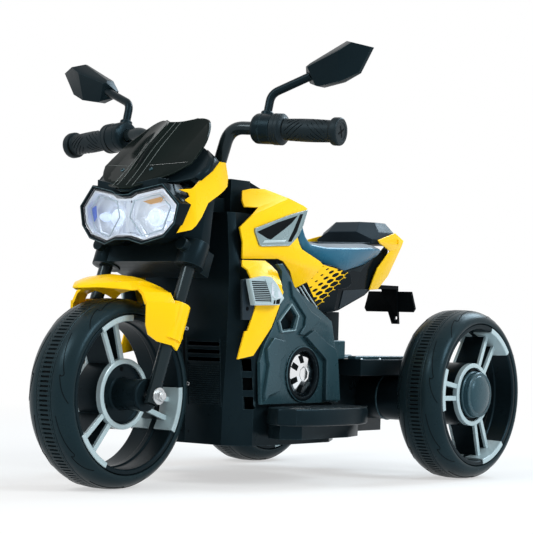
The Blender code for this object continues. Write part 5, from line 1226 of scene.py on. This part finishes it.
# an upright bar that follows the front, standing out from it by rise
def addUpright(bm, x, half, low, high, rise):
    for vert in addBlock(bm, (x - half, -0.1375, low), (x + half, -0.129, high)):
        vert.co.y = shroudFront(vert.co.z) + (-rise if vert.co.y < -0.133 else 0.0008)


for side in (-1, 1):
    for k in range(shroud["ribs"]):
        z = shroud["ribTop"] - (shroud["ribTop"] - shroud["ribLow"]) * k / (shroud["ribs"] - 1)
        low, high = sorted((side * shroud["left"], side * shroud["right"]))
        addBlock(ribs, (low, shroudFront(z) - 0.001, z - 0.0007), (high, shroudFront(z) + 0.0008, z + 0.0007))
    for x in shroud["uprights"]:
        addUpright(ribs, side * x, 0.0006, shroud["uprightLow"], shroud["uprightTop"], 0.0009)
for low, high in zip(shroud["seam"], shroud["seam"][1:]):
    addUpright(seam, 0, 0.0012, low, high, 0.0004)
for x, z in shroud["screws"]:
    addScrew(chassisScrews, chassisRecesses, (x, shroudFront(z) - 0.0002, z), (0, -1, 0), 0.003)
addPiece(faceOut(ribs), "shroud_ribs", "chassis", "satinBlack", "black_plastic", soft=(0.0003, 2, 30))
addPiece(faceOut(seam), "shroud_seam", "chassis", "deepBlack", "black_plastic")

# Tail: faceted panels on both sides of the tub
tail = dict(
    panel=[(0.118, 0.3), (0.1758, 0.314), (0.298, 0.356), (0.302, 0.352), (0.2463, 0.2885), (0.2292, 0.2795),
        (0.149, 0.254), (0.115, 0.249)],
    inner=[(0.162, 0.285), (0.238, 0.2895), (0.227, 0.2815), (0.151, 0.2572)], front=0.0668, taper=0.082)


def tailFace(y, z):
    return tail["front"] - (y - 0.15) * tail["taper"]


panel, inset = bmesh.new(), bmesh.new()
addSlab(panel, tail["panel"], lift(tailFace, -0.0022), tailFace)
addSlab(inset, tail["inner"], lift(tailFace, -0.001), lift(tailFace, 0.0014))
addPair(panel, "tail_panel", "glossBlack", "black_plastic", 4, sharp=20)
addPair(inset, "tail_inset", "padPlastic", "black_plastic", 4, sharp=20)

# Pillion pad: a faceted block on a low tongue over the seat's back. A level is a height and half its outline,
# and the tongue's sections are (half width, y, lower z, upper z)
pillion = dict(
    levels=[(0.3622, (0.052, 0.257), (0.0555, 0.268), (0.0555, 0.32), (0.046, 0.328)),
        (0.37, (0.0545, 0.2545), (0.0575, 0.268), (0.0575, 0.32), (0.0475, 0.33)),
        (0.382, (0.028, 0.2485), (0.0545, 0.274), (0.0545, 0.318), (0.042, 0.33)),
        (0.3985, (0.0235, 0.264), (0.038, 0.286), (0.038, 0.316), (0.029, 0.326))],
    tongue=[(0.03, 0.118, 0.3562, 0.3588), (0.05, 0.2, 0.359, 0.3618), (0.05, 0.262, 0.361, 0.365)])
block, tongue = bmesh.new(), bmesh.new()
rings = []
for z, first, *points in pillion["levels"]:
    line = [first] + points
    right = [(-x, y, z) for x, y in reversed(line)]
    rings.append(right[-1:] + [(x, y, z) for x, y in line] + right[:-1])
loftRings(block, rings)
loftRings(tongue, [[(-half, y, low), (half, y, low), (half, y, high), (-half, y, high)]
                   for half, y, low, high in pillion["tongue"]])
addPiece(appendMesh(block, tongue), "pillion_block", "chassis", "padPlastic", "seat_plastic",
         soft=(0.0022, 3, 18), replaces=("pillion_pad",))

# Console hump between the halves of the tank, and the round collar round the stem
console = dict(
    hump=[(-0.06, 0.429), (-0.06, 0.437), (-0.046, 0.44), (-0.03, 0.4385), (-0.01, 0.4325), (0.011, 0.4255),
        (0.011, 0.423), (-0.02, 0.429)], right=-0.045, left=0.03, collarY=-0.084,
    collar=[(0.015, 0.0), (0.0245, 0.0), (0.0262, 0.003), (0.0262, 0.0105), (0.0248, 0.0125),
        (0.0205, 0.0125), (0.0195, 0.011), (0.0195, 0.007), (0.015, 0.007)])
hump = bmesh.new()
addSlab(hump, console["hump"], console["right"], console["left"])
addPiece(faceOut(hump), "console_hump", "chassis", "glossBlack", "gloss_black", soft=(0.004, 4, 30))
collarPlace = Matrix.Translation((0.0, console["collarY"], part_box("head_bracket")[1].z - 0.012))
addPiece(move(lathe(console["collar"], 48), collarPlace), "console_collar", "chassis", "glossBlack",
         "gloss_black", sharp=30)

# Rear deck: raised boxes behind the side frames, and bars on the carrier
deck = dict(
    boxes=(((-0.082, 0.105, 0.1795), (0.082, 0.15, 0.208)), ((-0.05, 0.102, 0.206), (0.05, 0.138, 0.23))),
    bars=((0.086, 0.102, 0.15, 0.3, 0.185), (0.03, 0.04, 0.16, 0.33, 0.1835)), base=0.1795)
bm = bmesh.new()
for low, high in deck["boxes"]:
    addBlock(bm, low, high)
for side in (-1, 1):
    for inner, outer, front, rear, top in deck["bars"]:
        left, right = sorted((side * inner, side * outer))
        addBlock(bm, (left, front, deck["base"]), (right, rear, top))
addPiece(faceOut(bm), "rear_deck", "chassis", "frameTeal", "teal_black", soft=(0.003, 3, 30))

# Footboards with tread bars where the pedal leaves room, rings and screws on the gearboxes, carrier screws
tread = dict(count=9, first=-0.066, pitch=0.0175, half=0.0022, inner=0.118, outer=0.176, low=0.1122,
             high=0.1136)
gear = dict(rings=(0.138, 0.12, 0.07), face=0.1402, faceReach=0.0312, drum=0.129, drumReach=0.0358,
            ring=[(0.0352, -0.0012), (0.0361, -0.0012), (0.0366, 0.0), (0.0361, 0.0012), (0.0352, 0.0012)])
carrierScrews = dict(places=((0.1, 0.165), (0.1, 0.215), (0.06, 0.165), (0.1, 0.318)), top=0.1802)
boards, rings = bmesh.new(), bmesh.new()
for side, word in sides:
    for k in range(tread["count"]):
        y = tread["first"] + k * tread["pitch"]
        left, right = sorted((side * tread["inner"], side * tread["outer"]))
        if side > 0 or y > 0:
            addBlock(boards, (left, y - tread["half"], tread["low"]),
                     (right, y + tread["half"], tread["high"]))
    centre = middleOf("gearbox_" + word)
    for x in gear["rings"]:
        appendMesh(rings, move(lathe(gear["ring"], 56), Matrix.Translation((side * x, *centre.yz)) @ alongX))
    for angle in (45, 135, 225, 315):
        out = Vector((0, cos(radians(angle)), sin(radians(angle))))
        place = Vector((side * gear["face"], *centre.yz)) + out * gear["faceReach"]
        addScrew(chassisScrews, chassisRecesses, place, (side, 0, 0), 0.0026)
    for up in (-1, 1):
        out = Vector((0, -0.845, up * 0.534))
        place = Vector((side * gear["drum"], *centre.yz)) + out * gear["drumReach"]
        addScrew(chassisScrews, chassisRecesses, place, out, 0.0026)
    for x, y in carrierScrews["places"]:
        addScrew(chassisScrews, chassisRecesses, (side * x, y, carrierScrews["top"]), (0, 0, 1), 0.0034)
addPiece(faceOut(boards), "footboard_treads", "chassis", "gripRubber", "black_plastic", soft=(0.0006, 2, 30))
addPiece(faceOut(rings), "gearbox_rings", "chassis", "frameTeal", "teal_black")

# The plate holder's strip narrows towards a tip with a hole, off to the left
holder = dict(top=0.2932, low=0.236, left=(-0.015, 0.0075), right=(0.0155, 0.0195), hole=0.015)
bm = cadCopy("plate_holder")
for vert in bm.verts:
    share = (holder["top"] - min(vert.co.z, holder["top"])) / (holder["top"] - holder["low"])
    if abs(vert.co.x) < 0.004:
        vert.co.x += holder["hole"]
    elif abs(abs(vert.co.x) - 0.012) < 0.0001:
        first, last = holder["left"] if vert.co.x < 0 else holder["right"]
        vert.co.x = first + (last - first) * share
addPiece(bm, "plate_holder_tapered", "chassis", "deepBlack", "black_plastic", soft=(0.0005, 2, 30),
         replaces=("plate_holder",))
for bm, name, body, material in ((chassisScrews, "body_screws", "chassis", "zincSteel"),
                                 (chassisRecesses, "body_screw_slots", "chassis", "deepBlack"),
                                 (steeringScrews, "screen_screws", "steering", "zincSteel"),
                                 (steeringRecesses, "screen_screw_slots", "steering", "deepBlack")):
    addPiece(faceOut(bm), name, body, material, "steel", sharp=25)
print("body details made")

# Stage: pale floor that fades to white, white sky, soft lamps
stage = dict(floorHalf=14.0, floorColour=(0.86, 0.87, 0.88), speckColour=(0.8, 0.81, 0.82), fadeFrom=0.45,
             fadeTo=2.2, skyDiffuse=0.42, aim=(0, 0, 0.25))


# 1 for what the camera sees itself, also through glass or in a reflection
def seenDirectly(graph):
    path = graph.node("ShaderNodeLightPath").outputs
    return graph.math("MAXIMUM", path["Is Camera Ray"],
                      graph.math("MAXIMUM", path["Is Glossy Ray"], path["Is Transmission Ray"]))


bm = bmesh.new()
bmesh.ops.create_grid(bm, x_segments=1, y_segments=1, size=stage["floorHalf"])
floorMesh = bpy.data.meshes.new("floor")
bm.to_mesh(floorMesh)
bm.free()
floor = bpy.data.objects.new("floor", floorMesh)
bpy.context.scene.collection.objects.link(floor)
floorPaint, graph, shader = newMaterial("floorPaint")
output = floorPaint.node_tree.nodes["Material Output"]
shader.inputs["Roughness"].default_value = 0.85
shader.inputs["Specular IOR Level"].default_value = 0.1
coords = graph.node("ShaderNodeTexCoord")
far = graph.node("ShaderNodeVectorMath", operation="LENGTH")
graph.join(coords.outputs["Object"], far.inputs[0])
speck = graph.remap(graph.noise(coords.outputs["Object"], 3.0, 4.0), 0.3, 0.7, 0.97, 1.0)
tone = graph.blend(speck, stage["speckColour"], stage["floorColour"])
graph.join(tone, shader.inputs["Base Color"])
fade = graph.remap(far.outputs["Value"], stage["fadeFrom"], stage["fadeTo"])
share = graph.math("MULTIPLY", graph.remap(fade, 0.0, 1.0, 0.55, 1.0), seenDirectly(graph))
glow = graph.node("ShaderNodeEmission")
glow.inputs["Strength"].default_value = 1.0
mixed = graph.node("ShaderNodeMixShader")
graph.join(share, mixed.inputs[0])
graph.join(shader.outputs[0], mixed.inputs[1])
graph.join(glow.outputs[0], mixed.inputs[2])
graph.join(mixed.outputs[0], output.inputs["Surface"])
floorMesh.materials.append(floorPaint)

world = bpy.data.worlds.new("studio")
bpy.context.scene.world = world
world.use_nodes = True
graph = Graph(world.node_tree)
sky = world.node_tree.nodes["Background"]
graph.join(graph.remap(seenDirectly(graph), 0.0, 1.0, stage["skyDiffuse"], 1.0), sky.inputs["Strength"])
sky.inputs["Color"].default_value = (1.0, 1.0, 1.0, 1.0)

lamps = {
    "keyLamp": dict(place=(-0.6, -2.6, 2.5), size=1.3, power=58, colour=(1.0, 0.99, 0.97)),
    "sideLamp": dict(place=(2.6, 0.2, 1.9), size=1.1, power=54, colour=(0.9, 0.97, 1.0)),
    "rimLamp": dict(place=(0.3, 2.6, 2.4), size=1.4, power=64, colour=(0.7, 0.88, 1.0))}
for name, look in lamps.items():
    light = bpy.data.lights.new(name, "AREA")
    light.size, light.energy, light.color = look["size"], look["power"], look["colour"]
    lamp = bpy.data.objects.new(name, light)
    bpy.context.scene.collection.objects.link(lamp)
    lamp.location = look["place"]
    lamp.rotation_euler = (Vector(look["place"]) - Vector(stage["aim"])).to_track_quat("Z", "Y").to_euler()
bpy.context.scene.view_settings.view_transform = "Standard"
print("stage made")

bpy.context.view_layer.update()
